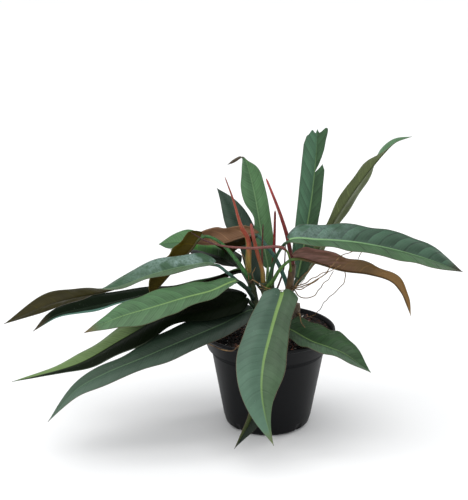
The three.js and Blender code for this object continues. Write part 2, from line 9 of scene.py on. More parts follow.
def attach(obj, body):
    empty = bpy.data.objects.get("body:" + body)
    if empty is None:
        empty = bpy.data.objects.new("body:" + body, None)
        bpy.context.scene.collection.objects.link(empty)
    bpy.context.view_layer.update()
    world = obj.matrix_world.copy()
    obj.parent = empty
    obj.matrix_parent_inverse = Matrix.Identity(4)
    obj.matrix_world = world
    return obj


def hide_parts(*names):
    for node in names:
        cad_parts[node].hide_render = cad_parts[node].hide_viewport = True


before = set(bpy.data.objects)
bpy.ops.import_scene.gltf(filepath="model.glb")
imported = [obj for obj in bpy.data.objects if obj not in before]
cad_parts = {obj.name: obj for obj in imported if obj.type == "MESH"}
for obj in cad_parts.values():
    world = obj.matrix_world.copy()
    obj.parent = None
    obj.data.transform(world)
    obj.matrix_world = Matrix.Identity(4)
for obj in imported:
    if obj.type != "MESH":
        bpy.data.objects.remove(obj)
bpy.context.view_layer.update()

# A potted philodendron bicolor: long leaves, green above and red-brown below, red sheaths, aerial roots
# and a black nursery pot. Points and sizes are in millimetres as on the plant; MM makes them metres.
MM = 0.001
random.seed(11)
noise.seed_set(11)

# Pot and soil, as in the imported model
RIM_RADIUS = 97.5
POT_HEIGHT = 145
COLLAR_HEIGHT = 33
BODY_TOP_RADIUS = 81.5
BODY_LOW_RADIUS = 64
BASE_CORNER_HEIGHT = 14
BASE_RADIUS = 56
WALL = 2
COLLAR_STEP = 6
SHOULDER = POT_HEIGHT - COLLAR_HEIGHT
SOIL_LEVEL = 137
SOIL_DOME = 3
SOIL_RADIUS = BODY_TOP_RADIUS + 9
SOIL_GAP = 0.5
HOLE_DEPTH = 30
ROUND_STEPS = 96

# Small notches in the pot's foot: the turn between two and the width of one, in degrees, and the depth
FOOT_NOTCH_TURN = 45
FOOT_NOTCH_WIDTH = 4
FOOT_NOTCH_DEPTH = 3

# Blades; places along a blade run from 0 at its base to 1 at its tip
BLADE_THICKNESS = 0.6
BLADE_ROWS = 150
BLADE_COLUMNS = 34
CROWDED_TO_RIB = 1.35
TIP_HALF_WIDTH = 0.35
TIP_BLUNTNESS = 1.15
ROUND_BASE_END = 0.06
LOBE_END = 0.12
TORN_OFF_AT = 0.97
MARGIN_WAVES = 4
RIGHT_WAVE_PHASE = 2
RIPPLE_HEIGHT = 1.6
ARCH_HEIGHT = 0.1
FINE_VEIN_SPACING = 4.5

# Side veins are counted from well before the blade's base, so that the count is never below zero. A line
# is the thinner the higher its power.
VEINS_BEFORE = 1000
FINE_LINE_POWER = 2.0
MAIN_LINE_POWER = 12.0

# Stalks: radius at the foot and at the neck, and the share of the stalk-and-rib tube that is stalk. The
# rest is the rib under the blade: where it has left the neck's radius, its radius at the blade's base and
# tip, how deep its top lies in the blade, and where it stops
STALK_BASE_RADIUS = 3.6
STALK_NECK_RADIUS = 2.2
STALK_SHARE = 0.35
RIB_NECK_END = 0.12
RIB_BASE_RADIUS = 1.7
RIB_TIP_RADIUS = 0.45
RIB_SUNK = 0.1
RIB_END = 0.96

# Stems: the distance between the rings of old leaves, and how far a ring stands out
NODE_SPACING = 24
NODE_RING = 0.6

# Soil crumbs: how far from the pot's axis they lie, and the share of its size that one stands up
LITTER_RADIUS = 87
LITTER_LIFT = 0.15

WORLD_STRENGTH = 0.77
SUN_STRENGTH = 1.3
LIGHT_BOX_WATTS = 14


def linked(name, data):
    """A new object with this data, in the scene"""
    made = bpy.data.objects.new(name, data)
    bpy.context.scene.collection.objects.link(made)
    return made


# The camera stands two metres from the rim's centre and looks down on it
camera = linked("camera", bpy.data.cameras.new("camera"))
camera.data.lens = 99.3
camera.data.sensor_width = 36
camera.location = (0, -1.87334, 0.84541)
camera.rotation_euler = (math.radians(72.696), 0, math.radians(1.501))
bpy.context.scene.camera = camera


# Curves and numbers

def lerp(a, b, t):
    return a + (b - a) * min(1, max(0, t))


def smooth(low, high, x):
    """0 below low, 1 above high, and an even turn between them"""
    t = min(1, max(0, (x - low) / (high - low)))
    return t * t * (3 - 2 * t)


def hermite(a, b, slope_a, slope_b, t):
    """The cubic from a to b with these slopes at its ends"""
    return (a + slope_a * t + (3 * (b - a) - 2 * slope_a - slope_b) * t ** 2
            + (2 * (a - b) + slope_a + slope_b) * t ** 3)


def between(keys, u, sharp=False):
    """A value or a vector between evenly spaced keys"""
    if len(keys) == 1:
        return Vector(keys[0]) if isinstance(keys[0], tuple) else keys[0]
    if isinstance(keys[0], tuple):
        return Vector([between([k[i] for k in keys], u) for i in range(3)])
    place = u * (len(keys) - 1)
    i = min(len(keys) - 2, int(place))
    a, b, t = keys[i], keys[i + 1], place - i
    if sharp:
        return lerp(a, b, t)
    before = keys[i - 1] if i else a
    after = keys[i + 2] if i + 2 < len(keys) else b
    return hermite(a, b, (b - before) / 2, (after - a) / 2, t)


class Path:
    """A smooth curve through points, spaced so that close points don't make it loop"""

    SAMPLES = 400

    def __init__(self, points, start=0.0):
        self.points = [Vector(p) for p in points]
        self.run = [0.0]
        self.samples = [self.raw(lerp(start, 1, i / self.SAMPLES)) for i in range(self.SAMPLES + 1)]
        for a, b in zip(self.samples, self.samples[1:]):
            self.run.append(self.run[-1] + (b - a).length)
        self.length = self.run[-1]

    def raw(self, t):
        last = len(self.points) - 1
        i = min(last - 1, int(t * last))
        a, b = self.points[i], self.points[i + 1]
        before = self.points[i - 1] if i else 2 * a - b
        after = self.points[i + 2] if i + 2 <= last else 2 * b - a
        d0, d1, d2 = (math.sqrt((q - p).length) or 1 for p, q in ((before, a), (a, b), (b, after)))
        slope_a = ((a - before) / d0 - (b - before) / (d0 + d1) + (b - a) / d1) * d1
        slope_b = ((b - a) / d1 - (after - a) / (d1 + d2) + (after - b) / d2) * d1
        return hermite(a, b, slope_a, slope_b, t * last - i)

    def at(self, u):
        """The point at a share of the length"""
        target = min(1, max(0, u)) * self.length
        low, high = 0, self.SAMPLES
        while high - low > 1:
            middle = (low + high) // 2
            low, high = (middle, high) if self.run[middle] < target else (low, middle)
        step = self.run[high] - self.run[low]
        return self.samples[low].lerp(self.samples[high], (target - self.run[low]) / step)

    def along(self, u):
        return (self.at(u + 0.006) - self.at(u - 0.006)).normalized()


# Making pieces

def solid(name, bm, materials):
    """An object with what bm holds as its mesh"""
    mesh = bpy.data.meshes.new(name)
    bm.to_mesh(mesh)
    bm.free()
    for material in materials:
        mesh.materials.append(material)
    return linked(name, mesh)


def piece(node, bm, materials, loose=False):
    """Makes the mesh one piece of the plant, in metres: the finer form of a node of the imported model,
    or loose grains, which are faceted and stand for no node"""
    bmesh.ops.scale(bm, vec=(MM, MM, MM), verts=bm.verts)
    made = solid(node if loose else node + "_fine", bm, materials)
    made.data.polygons.foreach_set("use_smooth", [not loose] * len(made.data.polygons))
    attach(made, "root")
    if not loose:
        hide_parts(node)
    return made


def tube(bm, place, radius, sides, rings, material=0, flat=1.0):
    """Adds a closed round tube to bm: place(t) is its axis and radius(t) its radius, t from 0 to 1,
    which is kept as leaf_reach. flat narrows it across the first normal."""
    own = bmesh.new()
    bmesh.ops.create_cone(own, cap_ends=True, segments=sides, radius1=1, radius2=1, depth=1)
    edges = [e for e in own.edges if abs(e.verts[0].co.z - e.verts[1].co.z) > 0.5]
    bmesh.ops.subdivide_edges(own, edges=edges, cuts=rings - 1)
    reach = own.verts.layers.float.new("leaf_reach")
    centres = [place(i / rings) for i in range(rings + 1)]
    frames = []
    normal = None
    for i, centre in enumerate(centres):
        along = (centres[min(rings, i + 1)] - centres[max(0, i - 1)]).normalized()
        normal = along.orthogonal() if normal is None else normal - along * normal.dot(along)
        normal.normalize()
        frames.append((normal.copy(), along.cross(normal)))
    for vert in own.verts:
        i = round((vert.co.z + 0.5) * rings)
        across, other = frames[i]
        r = radius(i / rings)
        vert[reach] = i / rings
        vert.co = centres[i] + across * vert.co.x * r * flat + other * vert.co.y * r
    for face in own.faces:
        face.material_index = material
    mesh = bpy.data.meshes.new("tube")
    own.to_mesh(mesh)
    own.free()
    bm.from_mesh(mesh)
    bpy.data.meshes.remove(mesh)


# Stems: where each stands, the points that it passes, and its radius at the foot and at the top
STEMS = {
    "left": ((-13, -3), [(-14, -3, 150), (-20, -1, 190), (-28, 0, 228)], (7, 5)),
    "middle": ((3, -9), [(3, -9, 150), (-2, -8, 185), (-7, -8, 216)], (7.5, 5)),
    "back": ((10, 27), [(9, 27, 150), (6, 28, 178), (4, 30, 204)], (7, 4.5)),
    "right": ((29, 2), [(28, 2, 150), (29, 2, 190), (35, 4, 239)], (7.5, 4.8)),
    "stub": ((41, -14), [(41, -14, 150), (41, -12, 186)], (5.2, 4.8)),
}

# Leaves
#
# stem, at: the stem that it grows from, and how far up that stem, from 0 to 1
# stalk, rib: points that the leaf stalk passes, and points along the midrib from base to tip
# width, shape: the full width, and (the base's share of it, where it is widest, how full its tip is)
# faces, fold, left, right: from base to tip, which way the upper face looks, how far each half is
# raised in degrees, and shares of the half width
# wave, lobe: height of the margin's waves, and how far the base reaches back beside the stalk
# end: how far the torn end reaches past the last rib point, from the left margin to the right one
# tear: corners of a slit, each as its place along the rib and its distance to the right of it
#
# PLAIN_BLADE holds what a leaf's entry leaves out, and PLAIN_LEAF does so for its looks

PLAIN_BLADE = dict(wave=1.5, lobe=4)

LEAVES = {
    "leaf_left_upper": dict(
        stem="left", at=0.78, stalk=[(-33, -7, 208), (-55, -10, 228)],
        rib=[(-78, -15, 246), (-118, -26, 245), (-167, -40, 236), (-219, -50, 218), (-301, -58, 200),
             (-371, -64, 170)],
        width=52, shape=(0.75, 0.45, 2.2), fold=[10, 10, 10, 12, 14],
        faces=[(-0.1, -0.33, 0.95), (0, -0.33, 0.95), (0, -0.31, 0.95), (0, -0.1, 1), (0, 0.24, 0.97),
               (0, 0.64, 0.77), (0, 0.9, 0.45), (0, 0.95, 0.3), (0, 0.98, 0.2)],
        left=[0.55, 0.55, 0.6, 0.9, 1, 1], right=[1, 1, 1, 0.8, 0.75, 0.8]),
    "leaf_left_shaded": dict(
        stem="left", at=0.84, stalk=[(-27, 2, 220)],
        rib=[(-36, 7, 229), (-75, 14, 213), (-122, 22, 196), (-187, 28, 180), (-271, 34, 160),
             (-314, 34, 148), (-347, 30, 124)],
        width=50, shape=(0.6, 0.5, 3.5), lobe=3, fold=[12],
        faces=[(0, 0.2, 1), (0, 0.15, 1), (0, -0.2, 1), (0, -0.2, 1)], left=[0.8, 1.1, 1, 1]),
    "leaf_left_bright": dict(
        stem="left", at=0.65, stalk=[(-28, -12, 204), (-38, -18, 218)],
        rib=[(-46, -24, 223), (-81, -48, 216), (-113, -66, 213), (-158, -92, 207), (-205, -108, 197),
             (-251, -118, 178)],
        width=54, shape=(0.35, 0.5, 2), lobe=5, fold=[4], faces=[(0, -0.5, 1)],
        left=[0.55, 0.8, 0.8, 1.1, 1.2, 1]),
    "leaf_left_pale_edge": dict(
        stem="left", at=0.55, stalk=[(-24, -9, 183)],
        rib=[(-32, -14, 194), (-54, -24, 192), (-114, -46, 188), (-151, -58, 179), (-202, -76, 155),
             (-261, -92, 124), (-316, -102, 109), (-355, -108, 101)],
        width=66, shape=(0.6, 0.45, 1.6), fold=[-7, -7, 0, 12],
        faces=[(0, -0.55, 1), (0, -0.25, 1), (0, -0.15, 1), (0, 0, 1)], left=[1, 1, 0.72, 1, 1, 1, 1],
        right=[1.4, 1.5, 1.2, 1, 1, 1, 1]),
    "leaf_left_low": dict(
        stem="left", at=0.46, stalk=[(-18, -14, 171)],
        rib=[(-24, -22, 179), (-61, -46, 168), (-131, -92, 152), (-175, -116, 140), (-219, -132, 126),
             (-260, -146, 106), (-299, -154, 62)],
        width=56, shape=(0.75, 0.4, 1.8), fold=[7],
        faces=[(0, -0.48, 1), (-0.1, -0.48, 1), (-0.4, -0.5, 1)], right=[1, 1, 0.95, 0.7, 0.9, 1],
        left=[1, 1, 1, 1, 1.4, 1]),
    "leaf_left_hanging": dict(
        stem="left", at=0.92, stalk=[(-34, -8, 232), (-42, -4, 243), (-62, 8, 264), (-82, 14, 276)],
        rib=[(-98, 14, 276), (-109, 10, 262), (-129, 4, 239), (-151, -3, 213), (-169, -8, 193)],
        width=56, shape=(0.8, 0.5, 5), lobe=6, fold=[40], faces=[(-0.45, 0.6, 0.4)], left=[0.75]),
    "leaf_back_left": dict(
        stem="right", at=0.7, stalk=[(26, 8, 211), (9, 12, 248), (-4, 16, 264), (-12, 20, 274)],
        rib=[(-21, 22, 279), (-41, 30, 272), (-62, 38, 262), (-89, 56, 253), (-124, 76, 250),
             (-164, 92, 241)],
        width=56, shape=(0.5, 0.5, 3), wave=2, lobe=8, fold=[12],
        faces=[(-0.2, 0.9, 0.42), (0, 0.9, 0.42), (0, 0.9, 0.42), (0, 0.3, 1), (0, -0.5, 1),
               (0, -0.5, 1)]),
    "leaf_left_inner": dict(
        stem="left", at=0.74, stalk=[(-28, 14, 208)],
        rib=[(-47, 36, 228), (-68, 56, 232), (-85, 74, 232), (-113, 98, 231), (-149, 112, 226)],
        width=46, shape=(0.7, 0.45, 2), wave=1, fold=[15],
        faces=[(0, -0.3, 1), (0, -0.2, 1), (0, -0.1, 1)], left=[1.3, 1.4, 1.2, 1, 1]),
    "leaf_back_blue": dict(
        stem="back", at=0.6, stalk=[(-4, 30, 184)],
        rib=[(-18, 32, 203), (-27, 46, 228), (-35, 60, 259), (-45, 72, 284), (-60, 84, 308),
             (-77, 94, 328)],
        width=54, shape=(0.7, 0.45, 1.7), fold=[18], faces=[(0.2, -1, 0.4), (0.1, -1, 0.4), (0, -1, 0.3)],
        right=[0.8, 0.72, 0.72, 0.78, 0.9, 1], left=[0.5, 0.4, 0.45, 0.9, 1, 1]),
    "leaf_bent_tip": dict(
        stem="back", at=0.85, stalk=[(-1, 38, 205)],
        rib=[(-1, 42, 225), (-7, 48, 253), (-13, 57, 285), (-20, 66, 322), (-28, 73, 355),
             (-36, 73, 378), (-40, 67, 381), (-48, 63, 378), (-60, 62, 371)],
        width=36, shape=(0.85, 0.6, 2.2), wave=1, lobe=3, fold=[12],
        faces=[(0, -1, 0.3), (0, -1, 0.3), (0, -1, 0.3), (0, -1, 0.2), (0, -1, 0.2), (0, -1, 0.2),
               (-0.1, -1, -0.1), (-0.4, 0.2, -1), (0, 1, -0.3)],
        left=[0.7, 0.7, 0.68, 0.42, 0.95, 1, 0.65, 0.4, 0.8],
        right=[1, 1, 1, 1, 1, 0.95, 0.9, 0.15, 0.9]),
    "leaf_torn": dict(
        stem="right", at=0.58, stalk=[(34, 18, 196)],
        rib=[(42, 30, 212), (50, 42, 249), (56, 52, 286), (62, 62, 325), (67, 70, 377), (69, 76, 421)],
        width=44, shape=(1, 0.5, 40), wave=0.8, lobe=3, fold=[14], faces=[(0.2, -1, 0.2)],
        left=[0.6, 0.7, 0.8, 0.85, 0.9, 0.95, 1, 1, 1, 0.95, 0.6],
        right=[0.55, 0.6, 0.62, 0.65, 0.68, 0.7, 0.7, 0.7, 0.7, 0.68, 0.66, 0.64, 0.35, 0.52, 0.6, 0.75],
        end=[-7, -2, -1, -4, -6, 0, -5, -3, 0, 3, 2], tear=((0.713, 0.6), (0.79, 13.5), (0.82, 9))),
    "leaf_twisted_right": dict(
        stem="back", at=0.5, stalk=[(27, 38, 172)],
        rib=[(42, 44, 198), (65, 58, 232), (93, 76, 279), (122, 92, 321), (147, 106, 352),
             (170, 110, 380), (185, 106, 396), (207, 98, 406)],
        width=40, shape=(0.8, 0.5, 2), lobe=3, fold=[20],
        faces=[(-0.6, 1, 0.4), (-0.5, 1, 0.3), (-0.4, 0.6, 0.3), (-0.6, -0.4, 1)],
        left=[1, 1, 1, 1.3, 1.5, 1.3], right=[0.4, 0.4, 0.5, 0.8, 1, 1]),
    "leaf_right_long": dict(
        stem="middle", at=0.82, stalk=[(1, 2, 214), (10, 4, 248)],
        rib=[(30, -6, 279), (70, -14, 282), (117, -20, 281), (167, -26, 274), (217, -32, 262),
             (271, -38, 244)],
        width=62, shape=(0.75, 0.5, 3.5), wave=1.2, fold=[15],
        faces=[(0.1, -0.4, 1), (0, -0.4, 1), (0.2, -0.3, 1)], right=[0.7, 0.9, 1, 1, 1.1, 1.2]),
    "leaf_right_brown": dict(
        stem="middle", at=0.9, stalk=[(5, -14, 218), (18, -15, 240)],
        rib=[(38, -11, 254), (68, -8, 247), (105, -6, 235), (144, -8, 230), (176, -12, 220),
             (193, -14, 199), (204, -16, 170)],
        width=54, shape=(0.7, 0.45, 1.8), fold=[25], faces=[(0.3, 0.8, 1), (0.2, 0.8, 1), (0.4, 0.6, 1)],
        right=[1.2, 1.1, 0.9, 0.75, 0.75, 0.8], left=[0.15, 0.7, 1, 1, 1]),
    "leaf_front": dict(
        stem="middle", at=0.72, stalk=[(10, -22, 198)],
        rib=[(19, -46, 213), (10, -78, 191), (2, -108, 170), (-6, -140, 144), (-8, -165, 117),
             (-3, -180, 87), (9, -190, 47)],
        width=74, shape=(0.65, 0.5, 1.65), lobe=12, fold=[8],
        faces=[(0.1, -0.1, 1), (0, -0.6, 1), (0, -1, 0.3)], left=[1, 0.76, 0.8, 0.86, 0.5, 0.25]),
    "leaf_front_hidden": dict(
        stem="middle", at=0.62, stalk=[(8, -22, 179)],
        rib=[(11, -40, 186), (4, -79, 165), (-4, -110, 136), (-10, -122, 96), (-21, -132, 61),
             (-45, -142, 19)],
        width=50, shape=(0.7, 0.45, 1.8), fold=[25],
        faces=[(0, -0.1, 1), (0.2, -0.8, 0.6), (0.4, -1, 0.2)], right=[1, 1, 0.8, 0.6, 0.6, 0.7]),
    "leaf_right_low": dict(
        stem="right", at=0.42, stalk=[],
        rib=[(23, -26, 158), (41, -44, 153), (61, -62, 148), (84, -85, 148), (106, -105, 146),
             (141, -122, 126)],
        width=57, shape=(0.8, 0.45, 2), fold=[20], faces=[(0.1, -0.47, 1)]),
}


# How each leaf looks
#
# above, below: the face's colour, or the colours of its left and right halves, which in some leaves
# differ by painted light on one half and painted shade on the other
# rib: half the width of the pale midrib at its base, and its colour
# veins: the side veins' spacing, how far they slant and how they curve to the tip
# pressed, quilt: how dark the lines of the side veins are, and how far the blade swells between them
# fine: how strong the lines of the small veins are
# relief_shading: painted light and shade for the swells between side veins, as how much lighter each half
# is just past a side vein than just before the next one
# bloom_and_sheen, blush: how strong each half's bluish bloom near the base is, which partly is painted
# sheen, and the lower face's colour there
# crown: painted shade near the base, where the leaves above shade the blade: how much darker the leaf is
# there, from where to where that fades, and its colour there
# paler: how much lighter it is towards its tip
# edge: how strong the thin brown line along the margin is
# strip: a band along one margin, as where it starts, where it is full, its colour, and from where to
# where along the leaf it appears
# gloss: the strength of its shine
# tip, stalk: the colours that the tip dries to and that the leaf stalk has

PLAIN_LEAF = dict(rib=(1.2, "#6f8d58"), veins=(27, 0.55, 0.5), pressed=0.2, quilt=0.4, relief_shading=(0.15, 0.15),
                  fine=0.3, bloom_and_sheen=(0, 0), crown=(0.25, 0, 0.55), paler=0, edge=0.6, gloss=0.28,
                  below="#3a3a20", stalk="#263c25")

LOOKS = {
    "leaf_left_upper": dict(
        above=("#455b40", "#304d35"), below="#342f05", rib=(0.8, "#64825e"), bloom_and_sheen=(0.2, 0.75),
        quilt=1.0, crown=(0, 0, 1), stalk="#34584a"),
    # Painted shade: most of the upper face is near black where the leaves above shade it; near the base
    # it keeps a lit green
    "leaf_left_shaded": dict(
        above=("#0f1a0e", "#0b1409"), below="#1c180c", rib=(0.6, "#1c2b1a"), gloss=0.02, tip="#3e382a",
        crown=(1, 0.22, 0.36, "#2f4a28"), edge=0, strip=(-0.76, -0.84, "#4a6a5e", 0.3, 0.5)),
    "leaf_left_bright": dict(
        above=("#486545", "#436441"), below="#3a3a1a", rib=(1.6, "#83a562"), quilt=0.9,
        relief_shading=(0.3, 0.3), crown=(0.08, 0, 0.3), stalk="#1c3022", tip="#5c4c2c"),
    # Painted light and shade: the left half and the base are near black as painted shade, the right half
    # pale as painted light
    "leaf_left_pale_edge": dict(
        above=("#0a1206", "#556742"), below="#20240f", rib=(0.9, "#64803a"), gloss=0.05, paler=0.9,
        crown=(1, 0.4, 0.54, "#0a1206"), edge=0, strip=(-0.94, -0.97, "#4c5646", 0, 0.1)),
    "leaf_left_low": dict(
        above=("#3a4d3f", "#2e4232"), below="#2c2c18", rib=(1.1, "#73966b"), quilt=0.25,
        relief_shading=(0, 0), pressed=0.1, crown=(0.7, 0, 0.75), paler=0.4, stalk="#3c5440"),
    "leaf_left_hanging": dict(
        above="#43603f", below=("#403604", "#332d01"), rib=(1.2, "#4a2a2c"), stalk="#2f5c2c",
        strip=(-0.88, -0.94, "#7c7444", 0.3, 0.5), crown=(0, 0, 1), gloss=0.1),
    "leaf_back_left": dict(
        above=("#345834", "#42683e"), below=("#8f6b4f", "#2c2209"), rib=(1.0, "#6a9a48"),
        crown=(0, 0, 1), stalk="#33584c"),
    # Painted shade: the left half and the base are near black where the leaves above shade them
    "leaf_left_inner": dict(
        above=("#0c1a08", "#346f1e"), below="#3a2a16", rib=(1.0, "#5a8c3c"), pressed=0.5,
        relief_shading=(0.3, 0.3), crown=(0.95, 0.2, 0.5, "#0a1308")),
    "leaf_back_blue": dict(
        above=("#314336", "#2c3e32"), below="#3a2c1c", rib=(0.8, "#48664f")),
    "leaf_bent_tip": dict(
        above=("#4b6c4a", "#4d7149"), below="#4a3f30", rib=(1.2, "#85a978"), stalk="#6a8c58",
        relief_shading=(0.2, 0.2)),
    "leaf_torn": dict(
        above=("#43654c", "#345034"), rib=(1.5, "#83a76b"), veins=(24, 1.2, 0.3),
        quilt=0.9, pressed=0.25, relief_shading=(0.4, 0.4)),
    "leaf_twisted_right": dict(
        above="#4a6b4a", below=("#49542a", "#5b663c"), rib=(1.0, "#6f8f50"),
        crown=(0.5, 0, 0.55)),
    "leaf_right_long": dict(
        above=("#324d3b", "#3c5939"), rib=(2.1, "#82aa76"), veins=(36, 0.45, 0.35),
        fine=0.2, bloom_and_sheen=(0.4, 0.1), quilt=1.6, pressed=0.75, relief_shading=(0.6, 0.15), crown=(0, 0, 1),
        stalk="#264a2a", tip="#2c2816"),
    "leaf_right_brown": dict(
        above="#3f5a3f", below=("#5d4823", "#674e2a"), rib=(1.0, "#6a5238"),
        blush="#62463f", quilt=0.7, pressed=0.3, crown=(0, 0, 1), paler=0.8, stalk="#3c5c20"),
    "leaf_front": dict(
        above=("#3f553c", "#486251"), rib=(2.7, "#80a158"), veins=(21, 0.35, 0.3),
        fine=0.08, quilt=0.5, pressed=0.2, relief_shading=(0.1, 0.1), crown=(0.15, 0, 0.55), paler=0.7, edge=0.8,
        tip="#66704a"),
    "leaf_front_hidden": dict(
        above=("#0c1b0d", "#354018"), rib=(0.8, "#465c2c")),
    "leaf_right_low": dict(
        above=("#2b4628", "#405640"), rib=(1.1, "#87a962"), veins=(19, 0.5, 0.4),
        quilt=0.9, pressed=0.3, relief_shading=(0.3, 0.3)),
}


def stem_points(name):
    (x, y), points, _ = STEMS[name]
    return [(x, y, SOIL_LEVEL - HOLE_DEPTH + 1), (x, y, SOIL_LEVEL - HOLE_DEPTH / 2), *points]


def stem_point(name, at):
    return Path(stem_points(name)).at(at)


def outline(shape, u):
    """The half width at u, as a share of the widest: rounded base, swelling side, pointed tip"""
    base, widest, fullness = shape
    if u < widest:
        round_base = math.sqrt(min(1, 0.2 + u / ROUND_BASE_END))
        return round_base * lerp(base, 1, math.sin(0.5 * math.pi * u / widest))
    return (1 - ((u - widest) / (1 - widest)) ** fullness) ** TIP_BLUNTNESS


def vein_place(veins, along, across, share):
    """Counts the side veins: whole at a vein, between them halfway. They leave the rib at a slant and
    turn towards the tip near the margin."""
    spacing, slant, curve = veins
    return (along - across * (slant + curve * share)) / spacing


class Blade:
    """Where each place of a leaf's blade lies"""

    def __init__(self, name, leaf, look):
        self.leaf = leaf
        self.look = look
        self.seed = sum(map(ord, name))
        stalk = [stem_point(leaf["stem"], leaf["at"]), *leaf["stalk"]]
        start = len(stalk) / (len(stalk) + len(leaf["rib"]) - 1)
        self.whole = Path([*stalk, *leaf["rib"]])
        self.rib = Path([*stalk, *leaf["rib"]], start)
        self.stalk_points = [self.whole.raw(start * i / 12) for i in range(12)]
        self.rows = {}

    def row(self, u):
        """The rib's point at u, and the directions along the blade, across it and up from it"""
        if u not in self.rows:
            along = self.rib.along(u)
            side = along.cross(between(self.leaf["faces"], u)).normalized()
            self.rows[u] = self.rib.at(u), along, side, side.cross(along)
        return self.rows[u]

    def half(self, u, v):
        torn = "end" in self.leaf
        share = between(self.leaf.get("left" if v < 0 else "right", [1]), u, sharp=torn)
        reached = outline(self.leaf["shape"], TORN_OFF_AT * u if torn else u)
        return max(TIP_HALF_WIDTH, self.leaf["width"] / 2 * reached * share)

    def relief(self, along, across, share):
        """Swells between the side veins, and falls to nothing at the rib and the margin"""
        w = vein_place(self.look["veins"], along, across, share)
        swell = abs(math.sin(math.pi * w)) ** 0.7 - 0.45
        return self.look["quilt"] * swell * smooth(0.03, 0.3, share) * (1 - smooth(0.7, 1, share))

    def point(self, u, v, layer):
        """The point at u, v: v from -1 at the left margin to 1 at the right, layer 1 above, -1 below"""
        leaf = self.leaf
        centre, forward, side, up = self.row(u)
        fold = math.radians(between(leaf["fold"], u))
        half = self.half(u, v)
        reach = v * half
        share = abs(v)
        phase = 2 * math.pi * MARGIN_WAVES * u + (0 if v < 0 else RIGHT_WAVE_PHASE)
        wave = leaf["wave"] * v * v * math.sin(phase) * min(1, 4 * u, 3 * (1 - u))
        uneven = noise.noise((u * 9, v * 1.3, self.seed))
        ripple = uneven * RIPPLE_HEIGHT * v * v * min(1, 6 * u, 4 * (1 - u))
        arch = ARCH_HEIGHT * half * math.sin(math.pi * share) ** 2
        lift = abs(reach) * math.sin(fold) + wave + ripple + arch * min(1, 5 * (1 - u))
        lift += self.relief(u * self.rib.length, abs(reach), share) * min(1, 6 * u, 5 * (1 - u))
        back = leaf["lobe"] * max(0, 1 - u / LOBE_END) ** 2 * math.sin(0.8 * math.pi * share)
        ends = 0
        if "end" in leaf:
            ends = between(leaf["end"], (v + 1) / 2, sharp=True) * smooth(0.95, 1, u)
        thick = layer * BLADE_THICKNESS / 2
        lean = -math.copysign(math.sin(fold), v) if v else 0
        return (centre + side * (reach * math.cos(fold) + lean * thick)
                + up * (lift + math.cos(fold) * thick) + forward * (ends - back))

    def rib_radius(self, u):
        return lerp(STALK_NECK_RADIUS, lerp(RIB_BASE_RADIUS, RIB_TIP_RADIUS, u), u / RIB_NECK_END)

    def axis(self, t):
        """The stalk's axis and then the rib's, which lies half sunk under the blade"""
        if t < STALK_SHARE:
            place = t / STALK_SHARE * len(self.stalk_points)
            i = min(len(self.stalk_points) - 1, int(place))
            after = self.stalk_points[i + 1] if i + 1 < len(self.stalk_points) else self.under(0)
            return self.stalk_points[i].lerp(after, place - i)
        return self.under((t - STALK_SHARE) / (1 - STALK_SHARE) * RIB_END)

    def under(self, u):
        """The axis of the rib under the blade, so deep that only its top lies in the blade"""
        centre, _, _, up = self.row(u)
        return centre - up * (self.rib_radius(u) - RIB_SUNK)

    def radius(self, t):
        if t < STALK_SHARE:
            flare = 1 + 0.25 * (1 - smooth(0, 0.08, t))
            return flare * lerp(STALK_BASE_RADIUS, STALK_NECK_RADIUS, 1.3 * t / STALK_SHARE)
        return self.rib_radius((t - STALK_SHARE) / (1 - STALK_SHARE) * RIB_END)


def cut_tear(bm, tear, blade):
    """Takes the slit out of a flat blade: the wedge between the lines from its root to its corners"""
    length = blade.rib.length
    for vert in bm.verts:
        u, v, _ = vert.co
        vert.co = (u * length, v * blade.half(u, v), 0)
    corners = [Vector((u * length, reach, 0)) for u, reach in tear]
    inside = sum(corners, Vector()) / 3
    planes = []
    for a, b in ((corners[0], corners[1]), (corners[2], corners[0])):
        across = Vector((b.y - a.y, a.x - b.x, 0)).normalized()
        if across.dot(inside - a) < 0:
            across.negate()
        planes.append((a, across))
        bmesh.ops.bisect_plane(bm, geom=bm.verts[:] + bm.edges[:] + bm.faces[:], plane_co=a,
                               plane_no=across, dist=1e-3)
    slit = [f for f in bm.faces
            if all((f.calc_center_median() - a).dot(n) > 0 for a, n in planes)
            and f.calc_center_median().y > 0]
    bmesh.ops.delete(bm, geom=slit, context="FACES")
    for vert in bm.verts:
        u, reach = vert.co.x / length, vert.co.y
        vert.co = (u, max(-1, min(1, reach / blade.half(u, reach))), 0)


